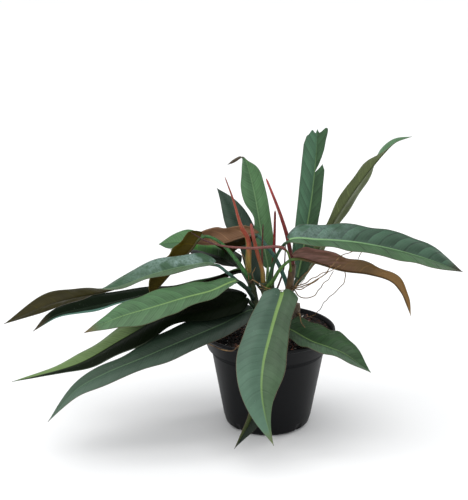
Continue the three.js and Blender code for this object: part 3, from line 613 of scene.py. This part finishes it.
def leaf_mesh(blade):
    """A leaf's blade and its stalk, with each place's distances kept for the materials"""
    bm = bmesh.new()
    bmesh.ops.create_grid(bm, x_segments=BLADE_ROWS, y_segments=BLADE_COLUMNS, size=0.5)
    for vert in bm.verts:
        across = 2 * vert.co.y
        vert.co = (vert.co.x + 0.5, math.copysign(abs(across) ** CROWDED_TO_RIB, across), 0)
    if "tear" in blade.leaf:
        cut_tear(bm, blade.leaf["tear"], blade)
    above = bm.faces[:]
    bottom = bmesh.ops.extrude_face_region(bm, geom=above, use_keep_orig=True)["geom"]
    lower = [g for g in bottom if isinstance(g, bmesh.types.BMVert)]
    bmesh.ops.translate(bm, verts=lower, vec=(0, 0, -1))
    for face in bm.faces:
        face.material_index = 1 if all(v.co.z < -0.5 for v in face.verts) else 0
    bmesh.ops.recalc_face_normals(bm, faces=bm.faces)
    place = bm.verts.layers.float_vector.new("leaf_place")
    reach = bm.verts.layers.float.new("leaf_reach")
    for vert in bm.verts:
        u, v, layer = vert.co
        vert[place] = (u * blade.rib.length, abs(v) * blade.half(u, v), v)
        vert[reach] = u
        vert.co = blade.point(u, v, 1 if layer > -0.5 else -1)
    if bm.calc_volume(signed=True) < 0:
        bmesh.ops.reverse_faces(bm, faces=bm.faces)
    tube(bm, blade.axis, blade.radius, 16, 60, material=2)
    return bm


# Materials

def joining(operation, turned=False):
    """A method that joins a wire and a value in a Math node; turned where the wire comes second"""
    return lambda wire, value: wire.math(operation, *((value, wire) if turned else (wire, value)))


class Wire:
    """An output of a material's node; sums and products on it add Math nodes"""

    __add__, __radd__ = joining("ADD"), joining("ADD", True)
    __sub__, __rsub__ = joining("SUBTRACT"), joining("SUBTRACT", True)
    __mul__, __rmul__ = joining("MULTIPLY"), joining("MULTIPLY", True)
    __truediv__ = joining("DIVIDE")
    __pow__ = joining("POWER")

    def __init__(self, finish, socket):
        self.finish = finish
        self.socket = socket

    def math(self, operation, *values):
        return self.finish.node("Math", {"operation": operation}, dict(enumerate(values)))

    def __abs__(self):
        return self.math("ABSOLUTE", self)

    def fraction(self):
        return self.math("FRACT", self)

    def step(self, low, high):
        """0 below low and 1 above high"""
        settings = {"interpolation_type": "SMOOTHSTEP"}
        return self.finish.node("MapRange", settings, {0: self, 1: low, 2: high, 3: 0, 4: 1})


def linear(colour):
    """#rrggbb as the four linear numbers that a shader takes"""
    parts = [int(colour[i:i + 2], 16) / 255 for i in (1, 3, 5)]
    return (*[c / 12.92 if c < 0.04045 else ((c + 0.055) / 1.055) ** 2.4 for c in parts], 1)


class Finish:
    """A material and the nodes that it is made of"""

    def __init__(self, name, **constants):
        self.material = bpy.data.materials.new(name)
        self.material.use_nodes = True
        self.tree = self.material.node_tree
        self.shader = self.tree.nodes["Principled BSDF"]
        for socket, value in constants.items():
            self.shader.inputs[socket.replace("_", " ")].default_value = value

    def node(self, kind, settings=None, inputs=None, output=0):
        made = self.tree.nodes.new("ShaderNode" + kind)
        for key, value in (settings or {}).items():
            setattr(made, key, value)
        for key, value in (inputs or {}).items():
            if isinstance(value, Wire):
                self.tree.links.new(value.socket, made.inputs[key])
            else:
                made.inputs[key].default_value = value
        return Wire(self, made.outputs[output])

    def feed(self, socket, wire):
        self.tree.links.new(wire.socket, self.shader.inputs[socket])

    def mix(self, a, b, factor):
        """From a to b; a colour is a name like #aabbcc or a wire"""
        a, b = (linear(c) if isinstance(c, str) else c for c in (a, b))
        return self.node("Mix", {"data_type": "RGBA"}, {0: factor, 6: a, 7: b}, 2)

    def place(self, scale=(1, 1, 1)):
        spot = self.node("TexCoord", output="Object")
        return self.node("Mapping", {}, {"Vector": spot, "Scale": scale})

    def noise(self, size, detail=3.0, rough=0.55, where=None):
        """Cloudy noise whose lumps are about size millimetres"""
        inputs = {"Scale": 1 / (size * MM), "Detail": detail, "Roughness": rough,
                  "Vector": where or self.place()}
        return self.node("TexNoise", {}, inputs)

    def reach(self):
        """The share of a leaf's or a tube's length at which a place lies"""
        return self.node("Attribute", {"attribute_name": "leaf_reach"}, output="Fac")

    def done(self, body, rough, height, depth):
        """Feeds colour, roughness and a bump of this depth in millimetres, and gives the material"""
        self.feed("Base Color", body)
        self.feed("Roughness", rough)
        self.feed("Normal", self.node("Bump", {}, {"Height": height, "Distance": depth * MM}))
        return self.material


def shade(colour, factor):
    """#rrggbb made lighter or darker"""
    parts = [min(255, round(int(colour[i:i + 2], 16) * factor)) for i in (1, 3, 5)]
    return "#%02x%02x%02x" % tuple(parts)


def vein_lines(place, power):
    """1 on a side vein and 0 halfway between two"""
    return (1 - (abs((place + VEINS_BEFORE).fraction() - 0.5) * 2).step(0.0, 0.5)) ** power


class Face:
    """A blade's upper or lower face: where its places lie, its side veins, and its colour and shades of
    it, which may differ between its halves, in some leaves as painted light and shade"""

    def __init__(self, name, look, key):
        self.look = look
        self.finish = finish = Finish(f"{name}_{key}", Specular_IOR_Level=look["gloss"])
        spot = finish.node("Attribute", {"attribute_name": "leaf_place"}, output="Vector")
        parts = finish.node("SeparateXYZ", {}, {0: spot}).socket.node.outputs
        along, self.across, self.side = (Wire(finish, part) for part in parts)
        self.share = abs(self.side)
        self.reach = finish.reach()
        spacing, slant, curve = look["veins"]
        fine = vein_place((FINE_VEIN_SPACING, slant, curve), along, self.across, self.share)
        main = vein_place((spacing, slant, curve), along, self.across, self.share)
        self.fine = vein_lines(fine, FINE_LINE_POWER)
        self.main = vein_lines(main, MAIN_LINE_POWER)
        self.past = (main + VEINS_BEFORE).fraction()
        colour = look[key]
        self.halves = (colour, colour) if isinstance(colour, str) else colour
        self.right = self.side.step(-0.03, 0.03)
        cloud = finish.noise(38, 3).step(0.25, 0.75)
        self.body = finish.mix(self.shaded(0.92), self.shaded(1.07), cloud)

    def shaded(self, factor):
        left, right = (shade(c, factor) for c in self.halves)
        return self.finish.mix(left, right, self.right)

    def either(self, pair):
        """The first number on the left half and the second on the right one"""
        return self.right * (pair[1] - pair[0]) + pair[0]

    def turn(self, colour, factor):
        """Turns the colour towards another one, by a factor from 0 to 1"""
        self.body = self.finish.mix(self.body, colour, factor)

    def turn_paler(self, full):
        """Makes the face paler towards its tip, fully so from a share of its length on"""
        if self.look["paler"]:
            self.turn(self.shaded(1.3), self.reach.step(0.5, full) * self.look["paler"])

    def add_strip(self):
        """Adds the band along a margin, where a leaf has one"""
        if "strip" in self.look:
            start, full, colour, near, far = self.look["strip"]
            self.turn(colour, (self.side * -1).step(-start, -full) * self.reach.step(near, far))


def blade_above(name, look):
    """The upper face: waxy green with a pale rib, side veins, a few specks and a thin brown margin, with
    painted light and shade between the side veins, painted sheen in the bloom and painted shade near the
    base
    """
    face = Face(name, look, "above")
    finish, share, reach = face.finish, face.share, face.reach
    # Painted light just past each side vein and painted shade before the next one, for the swells between
    # the veins
    relief_shading = face.either(look["relief_shading"]) * share.step(0.05, 0.25) * (1 - share.step(0.8, 1.0))
    face.turn(face.shaded(1.4), face.fine * look["fine"])
    face.turn(face.shaded(1.35), (1 - face.past) ** 2.0 * relief_shading)
    face.turn(face.shaded(0.65), face.past ** 6.0 * relief_shading)
    patchy = finish.noise(26, 2).step(0.4, 0.6) * 0.6 + 0.4
    face.turn(face.shaded(0.5), face.main * patchy * look["pressed"])
    face.turn_paler(0.9)
    # A bluish bloom near the base, whose patches partly are painted sheen
    mottle = finish.noise(3.5, 4, 0.7).step(0.2, 0.75) * finish.noise(28, 2).step(0.4, 0.56)
    bloom_and_sheen_mask = mottle * (1 - reach.step(0.12, 0.5)) * face.either(look["bloom_and_sheen"])
    face.turn("#90a9a4", bloom_and_sheen_mask)
    speck = finish.noise(1.3, 1).step(0.74, 0.8) * finish.noise(30, 1).step(0.52, 0.62)
    face.turn("#b9c6b9", speck * 0.5)
    face.add_strip()
    base_width, rib_colour = look["rib"]
    rib_width = (1 - reach) ** 0.6 * base_width
    rib = (1 - (face.across - rib_width).step(-0.7, 0.6)) * (1 - reach.step(0.75, 1.0))
    face.turn(rib_colour, rib * (0.95 - reach * 0.6))
    # Painted shade near the base, where the leaves above shade the blade
    depth, dark_to, light_from, *dark = look["crown"]
    face.turn(dark[0] if dark else face.shaded(0.4), (1 - reach.step(dark_to, light_from)) * depth)
    face.turn("#5f4a36", share.step(0.975, 0.995) * look["edge"])
    if "tip" in look:
        face.turn(look["tip"], reach.step(0.88, 0.99))
    rough = 0.42 + finish.noise(14, 3) * 0.12 + bloom_and_sheen_mask * 0.2
    grain = finish.noise(0.9, 2) * 0.2 + face.fine * 0.4 - face.main * 1.2 - rib * 0.8
    return finish.done(face.body, rough, grain, 0.22)


def blade_below(name, look):
    """The lower face: smooth, red-brown or olive, with slightly raised side veins, painted shade between
    them and, where it blushes, painted sheen near the base
    """
    face = Face(name, look, "below")
    finish, reach = face.finish, face.reach
    face.turn(face.shaded(0.8), face.fine * 0.5)
    face.turn(face.shaded(1.5), face.main * 0.25)
    # Painted shade before each side vein, for the swells between the veins
    face.turn(face.shaded(0.7), face.past ** 3.0 * face.either(look["relief_shading"]))
    if "blush" in look:
        face.turn(look["blush"], (1 - reach.step(0.08, 0.5)) * 0.9)
        # Painted sheen: lighter lengthwise streaks near the base
        painted_sheen = finish.noise(5, 3, where=finish.place((0.2, 1, 1))).step(0.4, 0.7)
        face.turn(shade(look["blush"], 1.5), painted_sheen * (1 - reach.step(0.2, 0.55)) * 0.6)
    face.turn_paler(0.7)
    face.add_strip()
    grain = finish.noise(0.9, 2) * 0.2 + face.fine * 0.3 + face.main * 0.8
    return finish.done(face.body, 0.4 + finish.noise(12, 3) * 0.12, grain, 0.2)


def leaf_stalk(name, look):
    """The stalk's own colour, which turns under the blade into that of the lower face"""
    finish = Finish(name + "_stalk", Specular_IOR_Level=0.35)
    streak = finish.noise(3, 4, where=finish.place((1, 1, 0.25)))
    stalk = finish.mix(shade(look["stalk"], 0.8), shade(look["stalk"], 1.15), streak.step(0.35, 0.65))
    below = look["below"]
    under = shade(below if isinstance(below, str) else below[0], 0.85)
    body = finish.mix(stalk, under, finish.reach().step(0.3, 0.42))
    return finish.done(body, 0.42 + streak * 0.15, streak + finish.noise(0.8, 2) * 0.3, 0.25)


def streaked(name, low, high, rough=0.45, grain=0.25, stretch=0.25):
    """A smooth shoot whose colour runs in soft streaks up its length"""
    finish = Finish(name)
    streak = finish.noise(3, 4, where=finish.place((1, 1, stretch)))
    blotch = finish.noise(11, 3)
    body = finish.mix(low, high, (streak * 0.6 + blotch * 0.4).step(0.35, 0.65))
    return finish.done(body, rough + blotch * 0.2, streak + finish.noise(0.8, 2) * 0.3, grain)


def make_leaves():
    for name, leaf in LEAVES.items():
        look = {**PLAIN_LEAF, **LOOKS[name]}
        finishes = [blade_above(name, look), blade_below(name, look), leaf_stalk(name, look)]
        piece(name, leaf_mesh(Blade(name, {**PLAIN_BLADE, **leaf}, look)), finishes)


# Stems, sheaths and roots

# Sheaths of new leaves: the stem and how far up it, the points passed, (place, radius) pairs from the
# foot to the tip, the colours of foot, body and tip, where the foot's colour ends, and the rolled edge
# beside it, as how far to the right it lies, its radius, where it ends and its colour
SHEATHS = {
    "sheath_left_tall": dict(
        stem="left", at=1,
        points=[(-28, 0, 245), (-29, 0, 277), (-39, 0, 297), (-50, 0, 335), (-62, 0, 369)],
        radii=[(0, 4.2), (0.3, 3.7), (0.45, 3.3), (0.6, 2.1), (1, 0.8)],
        colours=("#85712c", "#9b422b", "#8a3420"), foot=(0.1, 0.35), wing=(-4, 1.6, 0.6, "#77742c")),
    "sheath_middle": dict(
        stem="middle", at=1,
        points=[(-8, -8, 232), (-15, -8, 257), (-22, -8, 286), (-25, -8, 303)],
        radii=[(0, 3.5), (0.4, 3.0), (0.8, 2.7), (1, 2.2)],
        colours=("#7f6728", "#8b3e23", "#9a4a42"), foot=(0.1, 0.5), wing=(-2.6, 1.4, 0.75, "#5f5424")),
    "sheath_middle_thin": dict(
        stem="middle", at=0.9,
        points=[(-8, 2, 222), (-9, 1, 255), (-8, 1, 300)],
        radii=[(0, 2), (0.5, 1.5), (1, 0.9)],
        colours=("#6c3a1e", "#602c1c", "#401612"), foot=(0.1, 0.5)),
    "sheath_back": dict(
        stem="back", at=1,
        points=[(6, 29, 225), (8, 28, 253), (9, 26, 313)],
        radii=[(0, 2.5), (0.6, 2.2), (1, 1.7)],
        colours=("#44200f", "#851116", "#6f1214"), foot=(0.1, 0.5)),
    "sheath_right_tall": dict(
        stem="right", at=1,
        points=[(34, 7, 247), (31, 10, 258), (27, 16, 276), (15, 20, 313), (-4, 26, 360)],
        radii=[(0, 3.5), (0.3, 3.2), (0.7, 2.3), (1, 1.6)],
        colours=("#5c1c1a", "#791c1c", "#ae413f"), foot=(0.1, 0.5)),
    "sheath_right_thin": dict(
        stem="back", at=0.75,
        points=[(14, 20, 200), (22, 17, 228), (24, 18, 254), (24, 18, 268)],
        radii=[(0, 1.8), (1, 0.8)],
        colours=("#46261a", "#52141a", "#2e0c0e"), foot=(0.1, 0.5)),
    "shoot_across": dict(
        stem="right", at=0.88,
        points=[(31, -4, 241), (30, -6, 252), (26, -8, 263), (17, -12, 270), (-26, -24, 272),
                (-65, -30, 277), (-89, -34, 286), (-108, -36, 298)],
        radii=[(0, 2.4), (0.1, 1.7), (0.24, 1.6), (0.25, 2.7), (0.5, 2.3), (0.8, 1.6), (1, 0.6)],
        colours=("#56701c", "#7e4a44", "#3e1c26"), foot=(0.24, 0.25)),
}

ROOT_RADIUS = 0.75
KNOT_RADIUS = 3.2

# Roots: the knot that a bunch grows from, and the points that each of its roots passes
ROOTS = {
    "roots_right": ((36, -3, 206), [
        [(54, -10, 218), (68, -18, 228), (87, -24, 241), (102, -26, 249)],
        [(57, -12, 214), (76, -20, 230), (103, -30, 263), (129, -34, 272), (125, -36, 261)],
        [(42, 2, 196), (50, 2, 190), (67, 6, 194), (76, 8, 204), (88, 14, 218), (94, 20, 225)],
        [(46, 2, 202), (63, 4, 211), (86, 12, 226)],
        [(44, 14, 212), (74, 32, 234), (106, 34, 228), (112, 34, 210), (104, 36, 194),
         (86, 44, 173), (70, 54, 146), (54, 58, 138.8)],
    ]),
    "roots_crown": ((-25, -6, 216), [[(-23, -12, 222), (-3, -18, 212), (10, -15, 208), (26, -12, 206)]]),
    "roots_low": ((43, -17, 172), [[(45, -30, 177), (47, -46, 170), (52, -54, 165)]]),
}

# Thin side roots that lie over the crown
ROOTLET_RADIUS = 0.5
ROOTLETS = [
    [(26, -12, 206), (3.5, -19, 206), (-4, -18, 208), (-15, -12, 209)],
    [(10, -15, 208), (18, -20, 205), (29, -16, 204.5), (38, -12, 208), (52, -16, 212)],
    [(3, -18, 210), (6, -21, 204), (17, -24, 203), (27, -20, 202)],
    [(-27, -7, 218), (-30, -9, 236), (-33, -8, 249), (-38, -6, 258), (-44, -4, 262)],
    [(-23, -8, 219), (-22, -12, 228), (-18, -12, 240)],
    [(36, -3, 206), (44, -10, 212), (52, -12, 224)],
]

# The root that comes out of the soil and hangs over the rim
RIM_ROOT = [(-37, -58, 139.4), (-40, -76, 145.5), (-42, -86, 147.6), (-48, -88.3, 143),
            (-61.6, -79, 140), (-76, -64.6, 140), (-87.2, -48.2, 139)]


def make_stems():
    green = streaked("stem_green", "#1c2614", "#3c4522", 0.5, 0.4, 0.5)
    red = streaked("stem_red", "#3a220c", "#5a4420", 0.45, 0.3, 0.5)
    bark = streaked("stub_bark", "#4a3f33", "#7a6a58", 0.8, 0.7, 0.4)
    for name, (_, _, (foot, top)) in STEMS.items():
        path = Path(stem_points(name))
        turns = path.length / NODE_SPACING
        bm = bmesh.new()
        tube(bm, path.at, lambda t: lerp(foot, top, t) + node_ring(turns * t), 28, 60)
        material = {"stub": bark, "right": red}.get(name, green)
        piece("stem_" + name, bm, [material])


def node_ring(turn):
    """How far the ring of an old leaf's place stands out; whole numbers of turns are at a ring"""
    return NODE_RING * max(0, math.cos(2 * math.pi * turn)) ** 6


def keyed(pairs, t):
    """The value at t between (place, value) pairs"""
    for (t0, a), (t1, b) in zip(pairs, pairs[1:]):
        if t <= t1:
            return lerp(a, b, (t - t0) / (t1 - t0))
    return pairs[-1][1]


def sheath_skin(name, colours, foot):
    """A new leaf's sheath: streaked lengthwise, from its foot's colour to a redder tip"""
    finish = Finish(name + "_skin", Specular_IOR_Level=0.4)
    reach = finish.reach()
    streak = finish.noise(2.0, 4, where=finish.place((1, 1, 0.12))).step(0.35, 0.65)
    body = finish.mix(colours[0], colours[1], reach.step(*foot))
    body = finish.mix(body, colours[2], reach.step(0.6, 0.97))
    body = finish.mix(body, finish.mix(body, "#1c0a06", 0.5), streak * 0.55)
    body = finish.mix(body, "#a08a50", finish.noise(5, 3).step(0.58, 0.75) * 0.35)
    return finish.done(body, 0.38 + streak * 0.15, streak + finish.noise(0.8, 2) * 0.3, 0.3)


def make_sheaths():
    for name, sheath in SHEATHS.items():
        path = Path([stem_point(sheath["stem"], sheath["at"]), *sheath["points"]])
        radii = sheath["radii"]
        bm = bmesh.new()
        tube(bm, path.at, lambda t: keyed(radii, t) * math.sqrt(1 - 0.8 * smooth(0.96, 1, t)), 16, 100,
             flat=0.85)
        skins = [sheath_skin(name, sheath["colours"], sheath["foot"])]
        if "wing" in sheath:
            aside, radius, end, colour = sheath["wing"]
            tube(bm, lambda t: path.at(t * end) + Vector((aside * (1 - 0.6 * t), 1.5, 0)),
                 lambda t: radius * math.sqrt(1 - 0.9 * smooth(0.5, 1, t)), 10, 60, material=1)
            skins.append(streaked(name + "_edge", shade(colour, 0.75), colour, 0.4))
        piece(name, bm, skins)


def wander(path, amount, seed):
    """The path with small kinks"""
    def place(t):
        spot = path.at(t)
        drift = Vector([noise.noise((spot.length * 0.11, seed, i * 7.3)) for i in range(3)])
        return spot + drift * amount * min(1, 8 * t, 8 * (1 - t))
    return place


def make_roots():
    brown = streaked("root_brown", "#4a3424", "#96764a", 0.7, 0.3, 1)
    knot_brown = streaked("knot_brown", "#2a2012", "#4c3a1c", 0.7, 0.4, 1)
    for number, (name, (knot, roots)) in enumerate(ROOTS.items()):
        bm = bmesh.new()
        bmesh.ops.create_icosphere(bm, subdivisions=3, radius=KNOT_RADIUS,
                                   matrix=Matrix.Translation(knot))
        for i, points in enumerate(roots):
            path = Path([knot, *points])
            tube(bm, wander(path, 2.2, number * 10 + i),
                 lambda t: ROOT_RADIUS * (1.2 - 0.5 * t), 8, 60, material=1)
        for i, points in enumerate(ROOTLETS if name == "roots_crown" else []):
            tube(bm, wander(Path(points), 2.5, 50 + i), lambda t: ROOTLET_RADIUS * (1.3 - 0.7 * t), 6, 50,
                 material=1)
        piece(name, bm, [knot_brown, brown])
    bm = bmesh.new()
    tube(bm, Path(RIM_ROOT).at, lambda t: ROOT_RADIUS, 8, 60)
    piece("root_over_rim", bm, [brown])


# Pot and soil

def spun(bm, profile):
    """Turns a profile of (radius, height) round the pot's axis"""
    verts = [bm.verts.new((r, 0, z)) for r, z in profile]
    edges = [bm.edges.new(pair) for pair in zip(verts, verts[1:])]
    bmesh.ops.spin(bm, geom=verts + edges, cent=(0, 0, 0), axis=(0, 0, 1), angle=2 * math.pi,
                   steps=ROUND_STEPS, use_merge=True)
    bmesh.ops.remove_doubles(bm, verts=bm.verts, dist=0.01)
    bmesh.ops.recalc_face_normals(bm, faces=bm.faces)


def pot_plastic():
    """Black moulded plastic, a little dusty, with faint scuffs that run up and down"""
    finish = Finish("pot_plastic", Specular_IOR_Level=0.14)
    cloud = finish.noise(40, 4)
    scuff = finish.noise(6, 5, 0.7, where=finish.place((1, 1, 0.15)))
    dust = finish.noise(2.2, 3, 0.7).step(0.6, 0.75) * cloud
    body = finish.mix("#050608", "#0b0c0f", cloud * 0.6 + scuff * 0.4)
    body = finish.mix(body, "#33312e", dust * 0.3)
    parts = finish.node("SeparateXYZ", {}, {0: finish.place((1 / MM, 1 / MM, 1 / MM))})
    height = Wire(finish, parts.socket.node.outputs[2])
    half_step = COLLAR_STEP / 2
    under_collar = 1 - abs(height - (SHOULDER + half_step)).step(half_step, half_step + 2)
    rough = 0.36 + cloud * 0.1 + scuff * 0.1 + dust * 0.2 + under_collar * 0.35
    return finish.done(body, rough, finish.noise(1.2, 2) * 0.3 + scuff * 0.5, 0.08)


def make_pot():
    profile = [
        (0, 0), (BASE_RADIUS, 0), (BASE_RADIUS + 5, 4), (BODY_LOW_RADIUS, BASE_CORNER_HEIGHT),
        (BODY_TOP_RADIUS, SHOULDER), (BODY_TOP_RADIUS + COLLAR_STEP, SHOULDER + COLLAR_STEP),
        (RIM_RADIUS - 2.5, POT_HEIGHT - 6), (RIM_RADIUS, POT_HEIGHT - 4), (RIM_RADIUS, POT_HEIGHT),
        (RIM_RADIUS - WALL - 1, POT_HEIGHT), (BODY_TOP_RADIUS + COLLAR_STEP - WALL, SHOULDER + 5),
        (BODY_TOP_RADIUS - WALL, SHOULDER - 2), (BODY_LOW_RADIUS - WALL, BASE_CORNER_HEIGHT),
        (BASE_RADIUS + 2, WALL + 2), (BASE_RADIUS - 4, WALL), (0, WALL),
    ]
    bm = bmesh.new()
    spun(bm, profile)
    for vert in bm.verts:
        if vert.co.z < 5 and vert.co.xy.length > BASE_RADIUS - 1:
            turn = math.degrees(math.atan2(vert.co.y, vert.co.x)) % FOOT_NOTCH_TURN
            if turn < FOOT_NOTCH_WIDTH:
                vert.co.xy *= 1 - FOOT_NOTCH_DEPTH / vert.co.xy.length
    pot = piece("pot", bm, [pot_plastic()])
    bevel = pot.modifiers.new("edges", "BEVEL")
    bevel.width = 0.8 * MM
    bevel.segments = 3
    bevel.angle_limit = math.radians(12)
    bevel.limit_method = "ANGLE"


def make_soil():
    finish = Finish("potting_mix", Specular_IOR_Level=0.2)
    lumps = finish.noise(5, 6, 0.7)
    body = finish.mix("#080504", "#2a1a12", lumps.step(0.4, 0.7))
    body = finish.mix(body, "#3c2016", finish.noise(8, 4).step(0.58, 0.66) * 0.6)
    mix = finish.done(body, 0.8 + lumps * 0.15, lumps, 2.0)
    top = [(SOIL_RADIUS * i / 24, SOIL_LEVEL + SOIL_DOME) for i in range(25)]
    walls = [(0, WALL + 1), (BASE_RADIUS - 4, WALL + 1),
             (BODY_LOW_RADIUS - WALL - SOIL_GAP, BASE_CORNER_HEIGHT),
             (BODY_TOP_RADIUS - WALL - SOIL_GAP, SHOULDER - 2)]
    bm = bmesh.new()
    spun(bm, [*walls, *reversed(top)])
    for vert in bm.verts:
        if vert.co.z > SOIL_LEVEL - 4:
            rough = noise.noise(vert.co * 0.12) * 2 + noise.noise(vert.co * 0.4) * 1.4
            vert.co.z += rough * min(1, (SOIL_RADIUS - vert.co.xy.length) / 6)
    piece("soil", bm, [mix])


def scatter(name, count, sizes, colours, rough, shape):
    """Lays crumbs on the soil, each turned and stretched its own way"""
    bm = bmesh.new()
    for _ in range(count):
        r, a = LITTER_RADIUS * math.sqrt(random.random()), 2 * math.pi * random.random()
        x, y = r * math.cos(a), r * math.sin(a)
        size = random.uniform(*sizes)
        turn = Matrix.Rotation(random.uniform(0, 6.28), 4, "Z") @ Matrix.Rotation(
            random.uniform(-0.6, 0.6), 4, "X")
        stretch = Matrix.Diagonal((*[size * random.uniform(*s) for s in shape], 1))
        spot = Matrix.Translation((x, y, SOIL_LEVEL + SOIL_DOME + size * LITTER_LIFT))
        made = bmesh.ops.create_icosphere(bm, subdivisions=1, radius=1, matrix=spot @ turn @ stretch)
        for vert in made["verts"]:
            vert.co += noise.noise_vector(vert.co * 0.9) * size * 0.3
    finish = Finish(name)
    body = finish.mix(*colours, finish.noise(7, 2).step(0.35, 0.65))
    grains = finish.done(body, rough + finish.noise(3, 2) * 0.1, finish.noise(1, 3), 0.4)
    piece(name, bm, [grains], loose=True)


def make_litter():
    scatter("soil_crumbs", 2400, (0.9, 2.6), ("#080504", "#21140d"), 0.8,
            ((0.7, 1.3), (0.7, 1.3), (0.6, 1)))
    scatter("bark_chips", 640, (1.3, 3.4), ("#341a10", "#7c4832"), 0.75,
            ((0.8, 1.5), (0.5, 0.9), (0.25, 0.5)))
    scatter("perlite", 340, (0.6, 1.5), ("#b9b5ab", "#e4e2da"), 0.8,
            ((0.8, 1.2), (0.8, 1.2), (0.7, 1)))


# Floor and light

def make_stage():
    bm = bmesh.new()
    bmesh.ops.create_circle(bm, cap_ends=True, radius=40, segments=96)
    finish = Finish("floor_paper", Roughness=0.9, Specular_IOR_Level=0.1)
    finish.feed("Base Color", finish.mix("#f0f0f0", "#f4f4f4", finish.noise(300, 2)))
    floor = solid("floor", bm, [finish.material])
    world = bpy.data.worlds.new("studio")
    world.use_nodes = True
    background = world.node_tree.nodes["Background"]
    background.inputs["Color"].default_value = (0.97, 0.985, 1, 1)
    background.inputs["Strength"].default_value = WORLD_STRENGTH
    bpy.context.scene.world = world


def light(name, kind, place, aim, strength):
    """A lamp at place that faces aim, in metres"""
    lamp = linked(name, bpy.data.lights.new(name, kind))
    lamp.data.energy = strength
    lamp.location = place
    lamp.rotation_euler = (Vector(aim) - Vector(place)).to_track_quat("-Z", "Y").to_euler()
    return lamp.data


def make_light():
    crown = (0, 0, 0.2)
    sky = light("wide_overhead", "SUN", (-0.4, -0.5, 2.4), crown, SUN_STRENGTH)
    sky.angle = math.radians(60)
    for name, place in (("left_box", (-2.0, -0.3, 0.9)), ("right_box", (1.7, 1.2, 0.9))):
        box = light(name, "AREA", place, crown, LIGHT_BOX_WATTS)
        box.shape = "RECTANGLE"
        box.size, box.size_y = 0.5, 1.8
    bpy.context.scene.view_settings.view_transform = "Standard"


make_pot()
make_soil()
make_litter()
make_stems()
make_sheaths()
make_roots()
make_leaves()
make_stage()
make_light()
